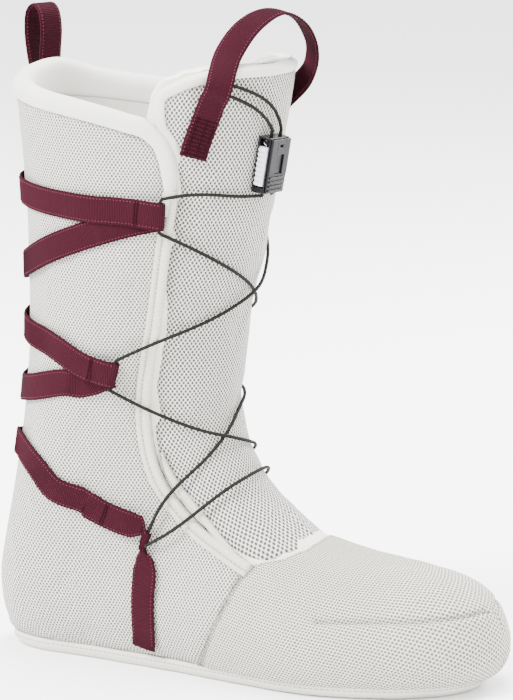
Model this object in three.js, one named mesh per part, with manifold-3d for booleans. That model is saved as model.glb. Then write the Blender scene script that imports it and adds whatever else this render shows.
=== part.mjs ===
// Inner boot (liner) of a snowboard boot, right foot.
// Millimetres. +X is the toe, +Z up, -Y the outer (lateral) side of the foot.
import * as THREE from 'three';
import Module from 'manifold-3d';

const wasm = await Module();
wasm.setup();

// Driving sizes.
const OUTER_LENGTH = 284;
const SHAFT_HEIGHT = 292;
const BALL_WIDTH = 98;
const SKIN_THICKNESS = 2.2;
const TOE_FOAM = 2.4;
const SHAFT_FOAM = 5.5;
const LINING_THICKNESS = 1.4;
const LAYER_GAP = 0.3;
const OUTSOLE_THICKNESS = 3.2;
const BOARD_THICKNESS = 1.5;
const SOLE_FOAM = 3;
const FOOTBED_THICKNESS = 4;
const RAND_HEIGHT = 7;
const ANKLE_PAD_RADIUS = 21;
const WEBBING_WIDTH = 14;
const WEBBING_THICKNESS = 1.2;
const WEBBING_CLEARANCE = 1.4;
const TAPE_WIDTH = 7.5;
const COLLAR_WIDTH = 8;
const LACE_DIAMETER = 1.8;
const LACE_CLEARANCE = 1.3;
const TOE_SEAM_HEIGHT = 42;
const LOCK_WIDTH = 17;
const LOCK_HEIGHT = 29;
const LOCK_DEPTH = 9;
const LOCK_TRAVEL = 14;

// Cross-sections from toe to cuff: underside or back point (x, z), top or front point (x, z),
// place of the widest line between them, half width, side offset, roundness above and below.
// Lengths are shares of OUTER_LENGTH, SHAFT_HEIGHT and BALL_WIDTH in percent.
const NOMINAL = { length: 284, height: 292, width: 98 };
const SECTIONS = [
  [199, -2, 195, 58, 0.42, 36, 9, 2.3, 2.2],
  [170, -3, 169, 60, 0.40, 41.5, 5, 2.2, 2.3],
  [140, -6, 137, 64, 0.38, 46.5, 0, 2.1, 2.3],
  [105, -7, 102, 74, 0.37, 49, -5, 2.0, 2.3],
  [62, -8, 72, 93, 0.37, 43.5, -5, 2.0, 2.3],
  [15, -9, 56, 118, 0.39, 38.5, -3, 2.0, 2.3],
  [-30, -9, 50, 140, 0.42, 37, -1, 2.0, 2.3],
  [-64, -7, 51, 159, 0.46, 39, 0, 2.1, 2.3],
  [-80, 9, 53, 177, 0.48, 41, 0, 2.1, 2.3],
  [-84, 35, 55, 192, 0.48, 44, 0, 2.1, 2.3],
  [-78, 71, 58, 206, 0.48, 47, 1, 2.1, 2.2],
  [-71, 110, 62, 220, 0.48, 50, 1, 2.1, 2.1],
  [-66, 155, 64, 236, 0.48, 53, 1, 2.1, 2.0],
  [-65, 205, 67, 254, 0.48, 55, 1, 2.1, 2.0],
  [-67, 250, 70, 272, 0.48, 55, 1, 2.1, 2.0],
  [-71, 292, 74, 292, 0.48, 55, 1, 2.1, 2.0],
  [-75, 334, 78, 312, 0.48, 55, 1, 2.1, 2.0],
  [-79, 376, 82, 332, 0.48, 55, 1, 2.1, 2.0],
].map(([bx, bz, fx, fz, share, half, side, top, low]) => {
  const l = OUTER_LENGTH / NOMINAL.length;
  const h = SHAFT_HEIGHT / NOMINAL.height;
  const w = BALL_WIDTH / NOMINAL.width;
  return [bx * l, bz * h, fx * l, fz * h, share, half * w, side * w, top, low];
});
const TOE_DOME = 1.6;
const TOE_TIP_HEIGHT = 22 * SHAFT_HEIGHT / NOMINAL.height;

// Depths of the layers below the outer surface.
const SKIN_IN = SKIN_THICKNESS;
const FOAM_OUT = SKIN_IN + LAYER_GAP;
const foamThickness = (t) => TOE_FOAM + (SHAFT_FOAM - TOE_FOAM) * smooth((t - 3) / 6);
const foamIn = (t) => FOAM_OUT + foamThickness(t);
const liningOut = (t) => foamIn(t) + LAYER_GAP;
const liningIn = (t) => liningOut(t) + LINING_THICKNESS;
const BOARD_BOTTOM = OUTSOLE_THICKNESS + LAYER_GAP;
const FOAM_BOTTOM = BOARD_BOTTOM + BOARD_THICKNESS + LAYER_GAP;
const LINING_BOTTOM = FOAM_BOTTOM + SOLE_FOAM + LAYER_GAP;
const FOOTBED_BOTTOM = LINING_BOTTOM + LINING_THICKNESS + LAYER_GAP;

// Routes on the surface, as [section, degrees from the front line].
const FRONT_TAPE = [
  [3.85, 55.5], [4.3, 57], [4.9, 60.3], [5.8, 61.5], [7, 63.5], [8, 64.2], [9.1, 63.5],
  [10.1, 63.5], [11.1, 63.3], [11.9, 62], [12.7, 60.5], [13.35, 59.2],
];
const COLLAR = [
  [13.62, 60.2], [14.05, 61.6], [14.45, 65], [14.72, 71], [14.83, 80], [14.93, 90],
  [15.02, 105], [15.08, 122], [15.14, 150], [15.2, 180],
];
const TONGUE_EDGE = [
  [3.0, 6], [3.06, 20], [3.3, 36], [3.7, 50], [3.95, 55], [4.3, 57], [4.9, 60.3], [5.8, 61.5],
  [7, 63.5], [8, 64.2], [9.1, 63.5], [10.1, 63.5], [11.1, 63.3], [11.9, 62], [12.7, 60.5],
  [13.35, 59.2], [14.05, 61.6], [14.45, 65], [14.8, 70], [15.35, 71], [15.65, 64],
  [15.95, 50], [16.1, 36], [16.2, 10],
];
const UPPER_STRAP = {
  rise: [[13.95, 180], [13.86, 139], [13.6, 101], [13.33, 77], [13.09, 63]],
  back: [[13.06, 63], [13.12, 77], [13.13, 92], [13.1, 114], [13.02, 141], [12.98, 180]],
};
const MIDDLE_STRAP = {
  rise: [[12.45, 180], [12.25, 142], [11.8, 113], [11.17, 95], [10.45, 80]],
  back: [[10.4, 80], [10.75, 93], [11.11, 105], [11.5, 135], [11.75, 180]],
};
const LOWER_STRAP = {
  rise: [[11.0, 180], [10.8, 141], [9.85, 113.5], [8.49, 94.1], [7.36, 85.7], [6.4, 77.5], [6.0, 73]],
  back: [[5.7, 81], [5.54, 87], [5.36, 98], [5.22, 112], [5.18, 121]],
  foldWidth: 6,
};

// Materials.
const cloth = (color, roughness = 0.9) => new THREE.MeshStandardMaterial({ color, roughness, metalness: 0 });
const meshCloth = cloth(0xe6e4dc);
const smoothCloth = cloth(0xe9e6dd, 0.8);
const tapeCloth = cloth(0xe4dfd0, 0.6);
const foam = cloth(0xd9d4c4, 1);
const board = cloth(0xb9b2a0);
const stiffener = cloth(0xc8c8c4, 0.5);
const webbing = cloth(0x5a1f33, 0.85);
const cordCloth = cloth(0x23241f, 0.8);
const blackPlastic = cloth(0x17181a, 0.35);
const whitePlastic = cloth(0xe8e8ea, 0.5);
const springSteel = new THREE.MeshStandardMaterial({ color: 0x9a9ca0, roughness: 0.3, metalness: 1 });

const root = new THREE.Group();
root.name = 'snowboard_boot_liner';
const SIMPLIFY = 0.12;

function smooth(x) {
  const k = Math.min(Math.max(x, 0), 1);
  return k * k * (3 - 2 * k);
}

const radians = (degrees) => degrees * Math.PI / 180;

// A smooth value through the rows of a table.
function curve(table, t) {
  const last = table.length - 1;
  const i = Math.min(Math.max(Math.floor(t), 0), last - 1);
  const f = t - i;
  return table[i].map((p1, k) => {
    const p2 = table[i + 1][k];
    const p0 = i > 0 ? table[i - 1][k] : 2 * p1 - p2;
    const p3 = i + 2 <= last ? table[i + 2][k] : 2 * p2 - p1;
    const cubic = 3 * (p1 - p2) + p3 - p0;
    return p1 + 0.5 * f * (p2 - p0 + f * (2 * p0 - 5 * p1 + 4 * p2 - p3 + f * cubic));
  });
}

// The middle of a cross-section and a point of the outer surface.
function sectionFrame(t) {
  const [bx, bz, fx, fz, share, half, side, top, low] = curve(SECTIONS, t);
  const k = Math.min(Math.max(t / TOE_DOME, 0), 1);
  const dome = Math.pow(Math.max(1 - Math.pow(1 - k, 2.2), 0), 1 / 2.2);
  const toTip = (z) => TOE_TIP_HEIGHT + (z - TOE_TIP_HEIGHT) * dome;
  const middleX = bx + share * (fx - bx);
  const inX = (x) => middleX + (x - middleX) * dome;
  const middle = new THREE.Vector3(middleX, side, toTip(bz + share * (fz - bz)));
  return { middle, bx: inX(bx), bz: toTip(bz), fx: inX(fx), fz: toTip(fz), half: half * dome, top, low };
}

function surface(t, phi) {
  const s = sectionFrame(t);
  const c = Math.cos(phi);
  const power = 2 / (c >= 0 ? s.top : s.low);
  const along = Math.pow(Math.abs(c), power);
  const across = Math.sign(Math.sin(phi)) * Math.pow(Math.abs(Math.sin(phi)), power);
  const endX = c >= 0 ? s.fx : s.bx;
  const endZ = c >= 0 ? s.fz : s.bz;
  return new THREE.Vector3(
    s.middle.x + (endX - s.middle.x) * along,
    s.middle.y - s.half * across,
    s.middle.z + (endZ - s.middle.z) * along,
  );
}

function slopes(t, phi) {
  const at = Math.max(t, 0.03);
  const alongT = surface(at + 0.02, phi).sub(surface(at - 0.02, phi)).divideScalar(0.04);
  const alongPhi = surface(at, phi + 0.02).sub(surface(at, phi - 0.02)).divideScalar(0.04);
  return [alongT, alongPhi];
}

function normal(t, phi) {
  if (t < 0.01) return new THREE.Vector3(1, 0, 0);
  const [alongT, alongPhi] = slopes(t, phi);
  const n = alongT.cross(alongPhi).normalize();
  const out = surface(t, phi).sub(sectionFrame(Math.max(t, 0.03)).middle);
  return n.dot(out) < 0 ? n.negate() : n;
}

// A point at some height over (+) or depth under (-) the outer surface.
function over(t, phi, height) {
  return surface(t, phi).addScaledVector(normal(t, phi), height);
}

// A point on the line from a section's middle through its outer surface.
function ray(t, phi, share) {
  const m = sectionFrame(t).middle;
  return m.clone().add(surface(t, phi).sub(m).multiplyScalar(share));
}

// Moves a place on the surface by some millimetres in a direction.
function walk([t, phi], direction, distance) {
  const [a, b] = slopes(t, phi);
  const aa = a.dot(a);
  const ab = a.dot(b);
  const bb = b.dot(b);
  const da = direction.dot(a);
  const db = direction.dot(b);
  const det = aa * bb - ab * ab;
  return [t + distance * (da * bb - db * ab) / det, phi + distance * (db * aa - da * ab) / det];
}

// Closed triangles from a list of polygons, with equal corners joined.
function weld(polygons) {
  const points = [];
  const index = new Map();
  const triangles = [];
  const id = (p) => {
    const key = [p.x, p.y, p.z].map((v) => Math.round(v * 2000)).join();
    if (!index.has(key)) {
      index.set(key, points.length);
      points.push(p);
    }
    return index.get(key);
  };
  for (const polygon of polygons) {
    const ids = polygon.map(id);
    for (let k = 1; k < ids.length - 1; k += 1) {
      const [a, b, c] = [ids[0], ids[k], ids[k + 1]];
      if (a !== b && b !== c && a !== c) triangles.push(a, b, c);
    }
  }
  return { points, triangles };
}

function solid(polygons) {
  const { points, triangles } = weld(polygons);
  const mesh = new wasm.Mesh({
    numProp: 3,
    vertProperties: new Float32Array(points.flatMap((p) => [p.x, p.y, p.z])),
    triVerts: new Uint32Array(triangles),
  });
  const made = new wasm.Manifold(mesh);
  return made.volume() < 0 ? solid(polygons.map((p) => [...p].reverse())) : made;
}

// A ring of points swept into a closed body; the ends are flat, or joined when looped.
function sweep(rings, looped = false) {
  const polygons = [];
  const n = rings[0].length;
  const count = looped ? rings.length : rings.length - 1;
  for (let i = 0; i < count; i += 1) {
    const a = rings[i];
    const b = rings[(i + 1) % rings.length];
    for (let k = 0; k < n; k += 1) {
      const m = (k + 1) % n;
      polygons.push([a[k], a[m], b[m]], [a[k], b[m], b[k]]);
    }
  }
  if (!looped) {
    polygons.push(fanned(rings[0], true), fanned(rings[rings.length - 1], false));
  }
  return solid(polygons.flatMap((p) => (p.fan ? p.fan : [p])));
}

function fanned(ring, flip) {
  const centre = ring.reduce((sum, p) => sum.add(p), new THREE.Vector3()).divideScalar(ring.length);
  const fan = ring.map((p, k) => {
    const q = ring[(k + 1) % ring.length];
    return flip ? [centre, q, p] : [centre, p, q];
  });
  return { fan };
}

// Section lines used for the whole boot, and the angles round it.
const T_LINES = [
  0, 0.08, 0.3, 0.7, 1.3, 2, 2.8, 3.5, 4.2, 4.9, 5.6, 6.3, 7, 7.7, 8.5, 9.5, 11, 12.5, 14,
  15.2, 16.4,
];
const RING_STEPS = 22;
const RING = Array.from({ length: RING_STEPS }, (_, k) => 2 * Math.PI * k / RING_STEPS);

// The whole boot shape at a depth under its outer surface, as one full body.
function fullShape(depth) {
  const depthAt = typeof depth === 'function' ? depth : () => depth;
  const rings = T_LINES.map((t) => RING.map((phi) => over(t, phi, -depthAt(t))));
  return sweep(rings);
}

const above = (body, z) => body.trimByPlane([0, 0, 1], z);
const below = (body, z) => body.trimByPlane([0, 0, -1], -z);
const lateral = (body, gap = LAYER_GAP / 2) => body.trimByPlane([0, -1, 0], gap);
const medial = (body, gap = LAYER_GAP / 2) => body.trimByPlane([0, 1, 0], gap);

function layer(outer, inner, bottom, innerBottom) {
  return above(fullShape(outer), bottom).subtract(above(fullShape(inner), innerBottom));
}

// The value of a route at a share of its length, by smooth interpolation.
function along(route, count) {
  const line = new THREE.CatmullRomCurve3(route.map(([a, b, c = 0]) => new THREE.Vector3(a * 8, b, c)));
  line.curveType = 'centripetal';
  return line.getSpacedPoints(count).map((p) => [p.x / 8, radians(p.y), p.z]);
}

const mirrored = (places) => places.map(([t, phi, h = 0]) => [t, 2 * Math.PI - phi, h]);

// A block that spans the front of the boot between the two tongue edges.
function frontBlock(extraDegrees, extraT) {
  const rows = along(TONGUE_EDGE, 26);
  const columns = [-1, -0.6, -0.2, 0.2, 0.6, 1];
  const first = rows[0][0];
  const rings = rows.map(([t, phi]) => {
    const station = t === first ? t - extraT : t;
    const reach = phi + radians(extraDegrees);
    const outside = columns.map((v) => ray(station, v * reach, 1.3));
    const inside = columns.map((v) => ray(station, v * reach, 0.6)).reverse();
    return [...outside, ...inside];
  });
  return sweep(rings);
}

// The space above the collar's middle line, all round.
function aboveCollar() {
  const half = along(COLLAR, 12).map(([t, phi]) => [t, phi]);
  const ringPlaces = [[half[0][0], 0], ...half, ...mirrored(half).reverse().slice(1)];
  const low = ringPlaces.map(([t, phi]) => ray(t, phi, 1.4));
  const lowIn = ringPlaces.map(([t, phi]) => ray(t, phi, 0.5));
  const high = ringPlaces.map(([, phi]) => ray(17.2, phi, 1.4));
  const highIn = ringPlaces.map(([, phi]) => ray(17.2, phi, 0.5));
  const rings = ringPlaces.map((_, k) => [low[k], high[k], highIn[k], lowIn[k]]);
  return sweep(rings, true);
}

// A padded roll that closes the edge of the layered wall along a route.
function edgeRoll(places, width, bulge, grow = 0) {
  const corners = 8;
  const centres = places.map(([t, phi]) => surface(t, phi));
  const rings = places.map(([t, phi], k) => {
    const ahead = centres[Math.min(k + 1, centres.length - 1)];
    const behind = centres[Math.max(k - 1, 0)];
    const out = normal(t, phi);
    const forward = ahead.clone().sub(behind).normalize();
    const across = out.clone().cross(forward).normalize();
    const depth = liningIn(t);
    const middle = over(t, phi, -depth / 2);
    const high = depth / 2 + bulge + grow * 8;
    const wide = width / 2 + grow;
    return Array.from({ length: corners }, (_, c) => {
      const angle = 2 * Math.PI * c / corners;
      const a = Math.sign(Math.cos(angle)) * Math.pow(Math.abs(Math.cos(angle)), 0.75);
      const b = Math.sign(Math.sin(angle)) * Math.pow(Math.abs(Math.sin(angle)), 0.75);
      return middle.clone().addScaledVector(out, a * high).addScaledVector(across, b * wide);
    });
  });
  return sweep(rings);
}

// Flat webbing laid along places on the surface, at a height over it.
function webbingRings(places, width = WEBBING_WIDTH) {
  const centres = places.map(([t, phi, h]) => over(t, phi, h));
  return places.map(([t, phi, h], k) => {
    const ahead = centres[Math.min(k + 1, centres.length - 1)];
    const behind = centres[Math.max(k - 1, 0)];
    const out = normal(t, phi);
    const across = out.clone().cross(ahead.clone().sub(behind)).normalize();
    const left = walk([t, phi], across, width / 2);
    const right = walk([t, phi], across, -width / 2);
    const low = h - WEBBING_THICKNESS / 2;
    const high = h + WEBBING_THICKNESS / 2;
    return [over(...left, low), over(...left, high), over(...right, high), over(...right, low)];
  });
}

// One webbing that runs to the lace, turns round it and runs back under itself.
function foldedStrap({ rise, back }, overlap, side) {
  const lowHeight = WEBBING_CLEARANCE + WEBBING_THICKNESS / 2;
  const turn = LACE_DIAMETER / 2 + 0.45 + WEBBING_THICKNESS / 2;
  const highHeight = lowHeight + WEBBING_THICKNESS + 0.35;
  const onSide = (phi) => (side > 0 ? phi : 2 * Math.PI - phi);
  const first = along(rise, 13).map(([t, phi], k) => {
    const lift = smooth((k - 13 + overlap + 2) / 2);
    const peak = smooth((k - 11) / 2);
    const height = lowHeight + (highHeight - lowHeight) * lift;
    return [t, onSide(phi), height + (2 * turn + lowHeight - highHeight) * peak];
  });
  const second = along(back, 12).map(([t, phi]) => [t, onSide(phi), lowHeight]);
  const outgoing = webbingRings(first);
  const returning = webbingRings(second).map(([a, b, c, d]) => [c, d, a, b]);
  return { outgoing, returning, turn, first, second, lowHeight };
}

// Where a strap turns round the lace: the turn's middle, its forward, outward and width directions.
function strapFold(strap, overlap, side) {
  const { turn, first, second, lowHeight } = foldedStrap(strap, overlap, side);
  const [t1, phi1] = first[first.length - 1];
  const [t2, phi2] = second[0];
  const t = (t1 + t2) / 2;
  const phi = (phi1 + phi2) / 2;
  const before = surface(first[first.length - 3][0], first[first.length - 3][1]);
  const out = normal(t, phi);
  const forward = surface(t, phi).sub(before).projectOnPlane(out).normalize();
  const across = out.clone().cross(forward).normalize();
  return { centre: over(t, phi, lowHeight + turn), out, forward, across };
}

function strapBody(strap, overlap, side) {
  const { outgoing, returning, turn } = foldedStrap(strap, overlap, side);
  const { centre, out, forward, across } = strapFold(strap, overlap, side);
  const half = WEBBING_THICKNESS / 2;
  const bend = [75, 40, 0, -40, -75].map((degrees) => {
    const a = radians(degrees);
    const spoke = forward.clone().multiplyScalar(Math.cos(a)).addScaledVector(out, Math.sin(a));
    const at = (radius, sign) => centre.clone()
      .addScaledVector(spoke, radius)
      .addScaledVector(across, sign * (strap.foldWidth ?? WEBBING_WIDTH) / 2);
    return [at(turn - half, 1), at(turn + half, 1), at(turn + half, -1), at(turn - half, -1)];
  });
  return sweep([...outgoing, ...bend, ...returning]);
}

function add(name, full, material, tolerance = SIMPLIFY) {
  const body = largest(full.simplify(tolerance));
  const mesh = body.getMesh();
  const geometry = new THREE.BufferGeometry();
  const count = mesh.numVert;
  const positions = new Float32Array(count * 3);
  for (let i = 0; i < count; i += 1) {
    for (let k = 0; k < 3; k += 1) positions[i * 3 + k] = mesh.vertProperties[i * mesh.numProp + k];
  }
  geometry.setAttribute('position', new THREE.BufferAttribute(positions, 3));
  geometry.setIndex(new THREE.BufferAttribute(new Uint32Array(mesh.triVerts), 1));
  geometry.computeVertexNormals();
  const node = new THREE.Mesh(geometry, material);
  node.name = name;
  root.add(node);
  return node;
}

// Layers of the wall.
const tongueSpace = frontBlock(0.45, 0.02);
const tongueBlock = frontBlock(0, 0);
const overCollar = aboveCollar();
const tapePlaces = along(FRONT_TAPE, 22);
const collarHalf = along(COLLAR, 15);
const collarPlaces = [...collarHalf, ...mirrored(collarHalf).reverse().slice(1)];
const rollSpaces = [
  edgeRoll(tapePlaces, TAPE_WIDTH, 0.3, LAYER_GAP + 0.1),
  edgeRoll(mirrored(tapePlaces), TAPE_WIDTH, 0.3, LAYER_GAP + 0.1),
  edgeRoll(collarPlaces, COLLAR_WIDTH, 0.5, LAYER_GAP + 0.1),
];

function wallCut(body) {
  return rollSpaces.reduce((rest, roll) => rest.subtract(roll), body.subtract(overCollar).subtract(tongueSpace));
}

// The rolls as the tongue meets them when it is tipped forward by some degrees about its hinge.
const TONGUE_HINGE = [102 * OUTER_LENGTH / NOMINAL.length, 0, 74 * SHAFT_HEIGHT / NOMINAL.height];
const TIPPED_DEGREES = [1.5, 3, 5, 7.5, 10, 14];
const [hingeX, hingeY, hingeZ] = TONGUE_HINGE;
const tippedRolls = TIPPED_DEGREES.flatMap((degrees) => rollSpaces.map((roll) => roll
  .translate([-hingeX, -hingeY, -hingeZ])
  .rotate([0, -degrees, 0])
  .translate([hingeX, hingeY, hingeZ])));

function tongueCut(body) {
  const cutters = [...rollSpaces, ...tippedRolls];
  return cutters.reduce((rest, roll) => rest.subtract(roll), body.intersect(tongueBlock));
}

// Keeps the largest connected piece of a cut body.
function largest(body) {
  const pieces = body.decompose();
  return pieces.reduce((best, piece) => (piece.volume() > best.volume() ? piece : best));
}

const skin = layer(0, SKIN_IN, RAND_HEIGHT + LAYER_GAP, 0);
const foamShell = layer(FOAM_OUT, foamIn, FOAM_BOTTOM, FOAM_BOTTOM + SOLE_FOAM);
const liningShell = layer(liningOut, liningIn, LINING_BOTTOM, LINING_BOTTOM + LINING_THICKNESS);

function addSole() {
  const outline = above(fullShape(0), 0);
  add('sole_rand', below(outline, RAND_HEIGHT).subtract(fullShape(SKIN_IN)), smoothCloth);
  add('outsole', below(above(fullShape(FOAM_OUT), 0), OUTSOLE_THICKNESS), board);
  const boardBody = below(above(fullShape(FOAM_OUT), BOARD_BOTTOM), BOARD_BOTTOM + BOARD_THICKNESS);
  add('insole_board', boardBody, stiffener);
  const inside = fullShape((t) => liningIn(t) + LAYER_GAP);
  const bed = below(above(inside, FOOTBED_BOTTOM), FOOTBED_BOTTOM + FOOTBED_THICKNESS);
  add('footbed', bed, foam);
}

// The vamp and the quarters meet on a slanted plane.
const SEAM_NORMAL = [0.898, 0, -0.44];
const SEAM_OFFSET = 39.2 * OUTER_LENGTH / NOMINAL.length;
const behindSeam = (body) => body.trimByPlane(SEAM_NORMAL.map((v) => -v), -SEAM_OFFSET + LAYER_GAP / 2);
const aheadOfSeam = (body) => body.trimByPlane(SEAM_NORMAL, SEAM_OFFSET + LAYER_GAP / 2);

function addOuterPanels() {
  const wall = wallCut(skin);
  const quarters = behindSeam(wall);
  add('quarter_lateral', largest(lateral(quarters)), meshCloth);
  add('quarter_medial', largest(medial(quarters)), meshCloth);
  const vamp = aheadOfSeam(wall);
  add('vamp_top', largest(above(vamp, TOE_SEAM_HEIGHT + LAYER_GAP / 2)), meshCloth);
  const low = below(vamp, TOE_SEAM_HEIGHT - LAYER_GAP / 2);
  add('vamp_lateral', largest(lateral(low)), meshCloth);
  add('vamp_medial', largest(medial(low)), meshCloth);
}

// A stiff cup round the heel, set into the outside of the foam.
function heelCup(thickness, depth, grow) {
  const shell = fullShape(depth).subtract(fullShape(depth + thickness));
  const low = above(shell, FOAM_BOTTOM + 1 - grow);
  return low.trimByPlane([-0.6, 0, -0.8], -12 - grow);
}

function ankleCylinder(side, radius) {
  const pad = wasm.Manifold.cylinder(80, radius, radius, 20, false)
    .scale([1.15, 0.9, 1])
    .rotate([90, 0, 0])
    .translate([-32, -6, 98]);
  return side > 0 ? pad : pad.mirror([0, 1, 0]);
}

function addInnerLayers() {
  const cup = heelCup(1.2, FOAM_OUT, 0);
  add('heel_counter', largest(cup), stiffener);
  let body = foamShell.subtract(heelCup(1.2 + LAYER_GAP + 0.4, FOAM_OUT - 0.4, LAYER_GAP));
  for (const [name, side] of [['ankle_pad_lateral', 1], ['ankle_pad_medial', -1]]) {
    add(name, largest(foamShell.intersect(ankleCylinder(side, ANKLE_PAD_RADIUS))), foam);
    body = body.subtract(ankleCylinder(side, ANKLE_PAD_RADIUS + 2 * LAYER_GAP));
  }
  add('foam_bootie', largest(wallCut(body)), foam);
  add('lining', largest(wallCut(liningShell)), smoothCloth);
}

function addEdges() {
  add('quarter_tape_lateral', edgeRoll(tapePlaces, TAPE_WIDTH, 0.3), tapeCloth);
  add('quarter_tape_medial', edgeRoll(mirrored(tapePlaces), TAPE_WIDTH, 0.3), tapeCloth);
  add('collar_roll', edgeRoll(collarPlaces, COLLAR_WIDTH, 0.5), smoothCloth);
}

function addTongue() {
  add('tongue_face', largest(tongueCut(layer(0, SKIN_IN, 20, 0))), meshCloth);
  add('tongue_foam', largest(tongueCut(layer(FOAM_OUT, foamIn, 20, 0))), foam);
  add('tongue_lining', largest(tongueCut(layer(liningOut, liningIn, 20, 0))), smoothCloth);
}

function addStraps() {
  for (const [side, sign] of [['lateral', 1], ['medial', -1]]) {
    const laceSpace = tube(lacePoints(), LACE_DIAMETER + 2 * LAYER_GAP, 8);
    const half = (body) => largest((sign > 0 ? lateral(body) : medial(body)).subtract(laceSpace));
    add(`upper_strap_${side}`, half(strapBody(UPPER_STRAP, 4, sign)), webbing);
    add(`middle_strap_${side}`, half(strapBody(MIDDLE_STRAP, 4, sign)), webbing);
    add(`lower_strap_${side}`, half(strapBody(LOWER_STRAP, 1, sign)), webbing);
  }
}

// The lace lock stands on the front of the tongue, in a frame of its own:
// u to the medial side, v out of the tongue, w up along it.
const LOCK_PLACE = [13.72, radians(8)];
const LOCK_STANDOFF = 1;
const CHANNEL_SPACING = 8;
const CHANNEL_HEIGHT = 3.8;
const CHANNEL_DIAMETER = 2.6;
const lockOut = normal(...LOCK_PLACE);
const lockUp = slopes(...LOCK_PLACE)[0].projectOnPlane(lockOut).normalize();
const lockAcross = lockUp.clone().cross(lockOut).negate().normalize();
const lockOrigin = over(...LOCK_PLACE, LOCK_STANDOFF);
if (lockAcross.y < 0) lockAcross.negate();

function lockPoint(u, v, w) {
  return lockOrigin.clone()
    .addScaledVector(lockAcross, u)
    .addScaledVector(lockOut, v)
    .addScaledVector(lockUp, w);
}

function placeLock(body) {
  const m = new THREE.Matrix4().makeBasis(lockAcross, lockOut, lockUp).setPosition(lockOrigin);
  const placed = body.transform(m.elements);
  return m.determinant() < 0 ? body.mirror([1, 0, 0]).transform(mirrorU(m).elements) : placed;
}

function mirrorU(m) {
  return m.clone().multiply(new THREE.Matrix4().makeScale(-1, 1, 1));
}

function block(u0, u1, v0, v1, w0, w1) {
  return wasm.Manifold.cube([u1 - u0, v1 - v0, w1 - w0]).translate([u0, v0, w0]);
}

function rod(diameter, length, segments, [u, v, w]) {
  return wasm.Manifold.cylinder(length, diameter / 2, diameter / 2, segments).translate([u, v, w]);
}

const HALF_W = LOCK_WIDTH / 2;
const HALF_H = LOCK_HEIGHT / 2;
const COVER_THICKNESS = 1.3;
const CASE_DEPTH = LOCK_DEPTH - COVER_THICKNESS - LAYER_GAP;
const POCKET = { u: -HALF_W + 2.8, v0: 0.9, v1: CASE_DEPTH - 0.9, w0: -HALF_H + 3.4, w1: HALF_H - 1 };
const SLIDER_TRAVEL = 3;
const SLIDER_TOP = POCKET.w1 - SLIDER_TRAVEL - 0.6;
const SPRING_RADIUS = 0.85;
const SPRING_WIRE = 0.4;

function lockCase() {
  let body = block(-HALF_W, HALF_W, 0, CASE_DEPTH, -HALF_H, HALF_H);
  body = body.subtract(block(-HALF_W - 1, POCKET.u, POCKET.v0, POCKET.v1, POCKET.w0, POCKET.w1));
  for (const u of [-CHANNEL_SPACING / 2 + 1, CHANNEL_SPACING / 2 + 1]) {
    body = body.subtract(rod(CHANNEL_DIAMETER, LOCK_HEIGHT + 2, 12, [u, CHANNEL_HEIGHT, -HALF_H - 1]));
  }
  return body;
}

function lockCover() {
  const v0 = CASE_DEPTH + LAYER_GAP;
  const plate = block(-HALF_W + 0.4, HALF_W - 0.4, v0, v0 + COVER_THICKNESS, -HALF_H + 0.4, HALF_H - 0.4);
  let body = plate.subtract(block(-3.6, 3.6, v0 - 1, v0 + 3, -4, 6.5));
  for (let k = 0; k < 4; k += 1) {
    const w = -HALF_H + 2 + k * 2.1;
    body = body.add(block(-HALF_W + 1.6, HALF_W - 1.6, v0 + 0.5, v0 + COVER_THICKNESS + 0.5, w, w + 1));
  }
  return body;
}

function lockSlider() {
  const w0 = POCKET.w0 + 0.4;
  const v0 = POCKET.v0 + 0.35;
  const v1 = POCKET.v1 - 0.35;
  let body = block(-HALF_W - 0.6, POCKET.u - 0.35, v0, v1, w0, SLIDER_TOP);
  const teeth = 8;
  for (let k = 0; k < teeth; k += 1) {
    const w = w0 + (k + 0.5) * (SLIDER_TOP - w0) / teeth;
    body = body.add(rod(1.7, v1 - v0, 8, [0, 0, 0]).rotate([-90, 0, 0]).translate([-HALF_W - 0.6, v0, w]));
  }
  return body.subtract(rod(2.7, SLIDER_TOP - w0, 10, springFoot()));
}

const springFoot = () => [(-HALF_W - 0.6 + POCKET.u - 0.35) / 2 + 0.1, (POCKET.v0 + POCKET.v1) / 2, POCKET.w0 + 3.2];

function lockSpring() {
  const [u, v, w] = springFoot();
  const turns = 6;
  const steps = turns * 7;
  const height = POCKET.w1 - w - 1.1;
  const points = Array.from({ length: steps + 1 }, (_, k) => {
    const angle = 2 * Math.PI * k / 7;
    return new THREE.Vector3(
      u + SPRING_RADIUS * Math.cos(angle),
      v + SPRING_RADIUS * Math.sin(angle),
      w + 0.5 + height * k / steps,
    );
  });
  return tube(points, SPRING_WIRE, 4);
}

// A round cord or wire through a list of points.
function tube(points, diameter, sides) {
  let side = new THREE.Vector3(0, 0, 1);
  const rings = points.map((p, k) => {
    const ahead = points[Math.min(k + 1, points.length - 1)];
    const behind = points[Math.max(k - 1, 0)];
    const forward = ahead.clone().sub(behind).normalize();
    if (k === 0 && Math.abs(forward.z) > 0.8) side = new THREE.Vector3(1, 0, 0);
    side = side.clone().projectOnPlane(forward).normalize();
    const other = forward.clone().cross(side);
    return Array.from({ length: sides }, (_, c) => {
      const angle = 2 * Math.PI * c / sides;
      return p.clone()
        .addScaledVector(side, Math.cos(angle) * diameter / 2)
        .addScaledVector(other, Math.sin(angle) * diameter / 2);
    });
  });
  return sweep(rings);
}

function addLock() {
  add('lace_lock_case', placeLock(lockCase()), blackPlastic);
  add('lace_lock_cover', placeLock(lockCover()), blackPlastic);
  add('lace_lock_slider', placeLock(lockSlider()), whitePlastic);
  add('lace_lock_spring', placeLock(lockSpring()), springSteel);
}

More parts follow.
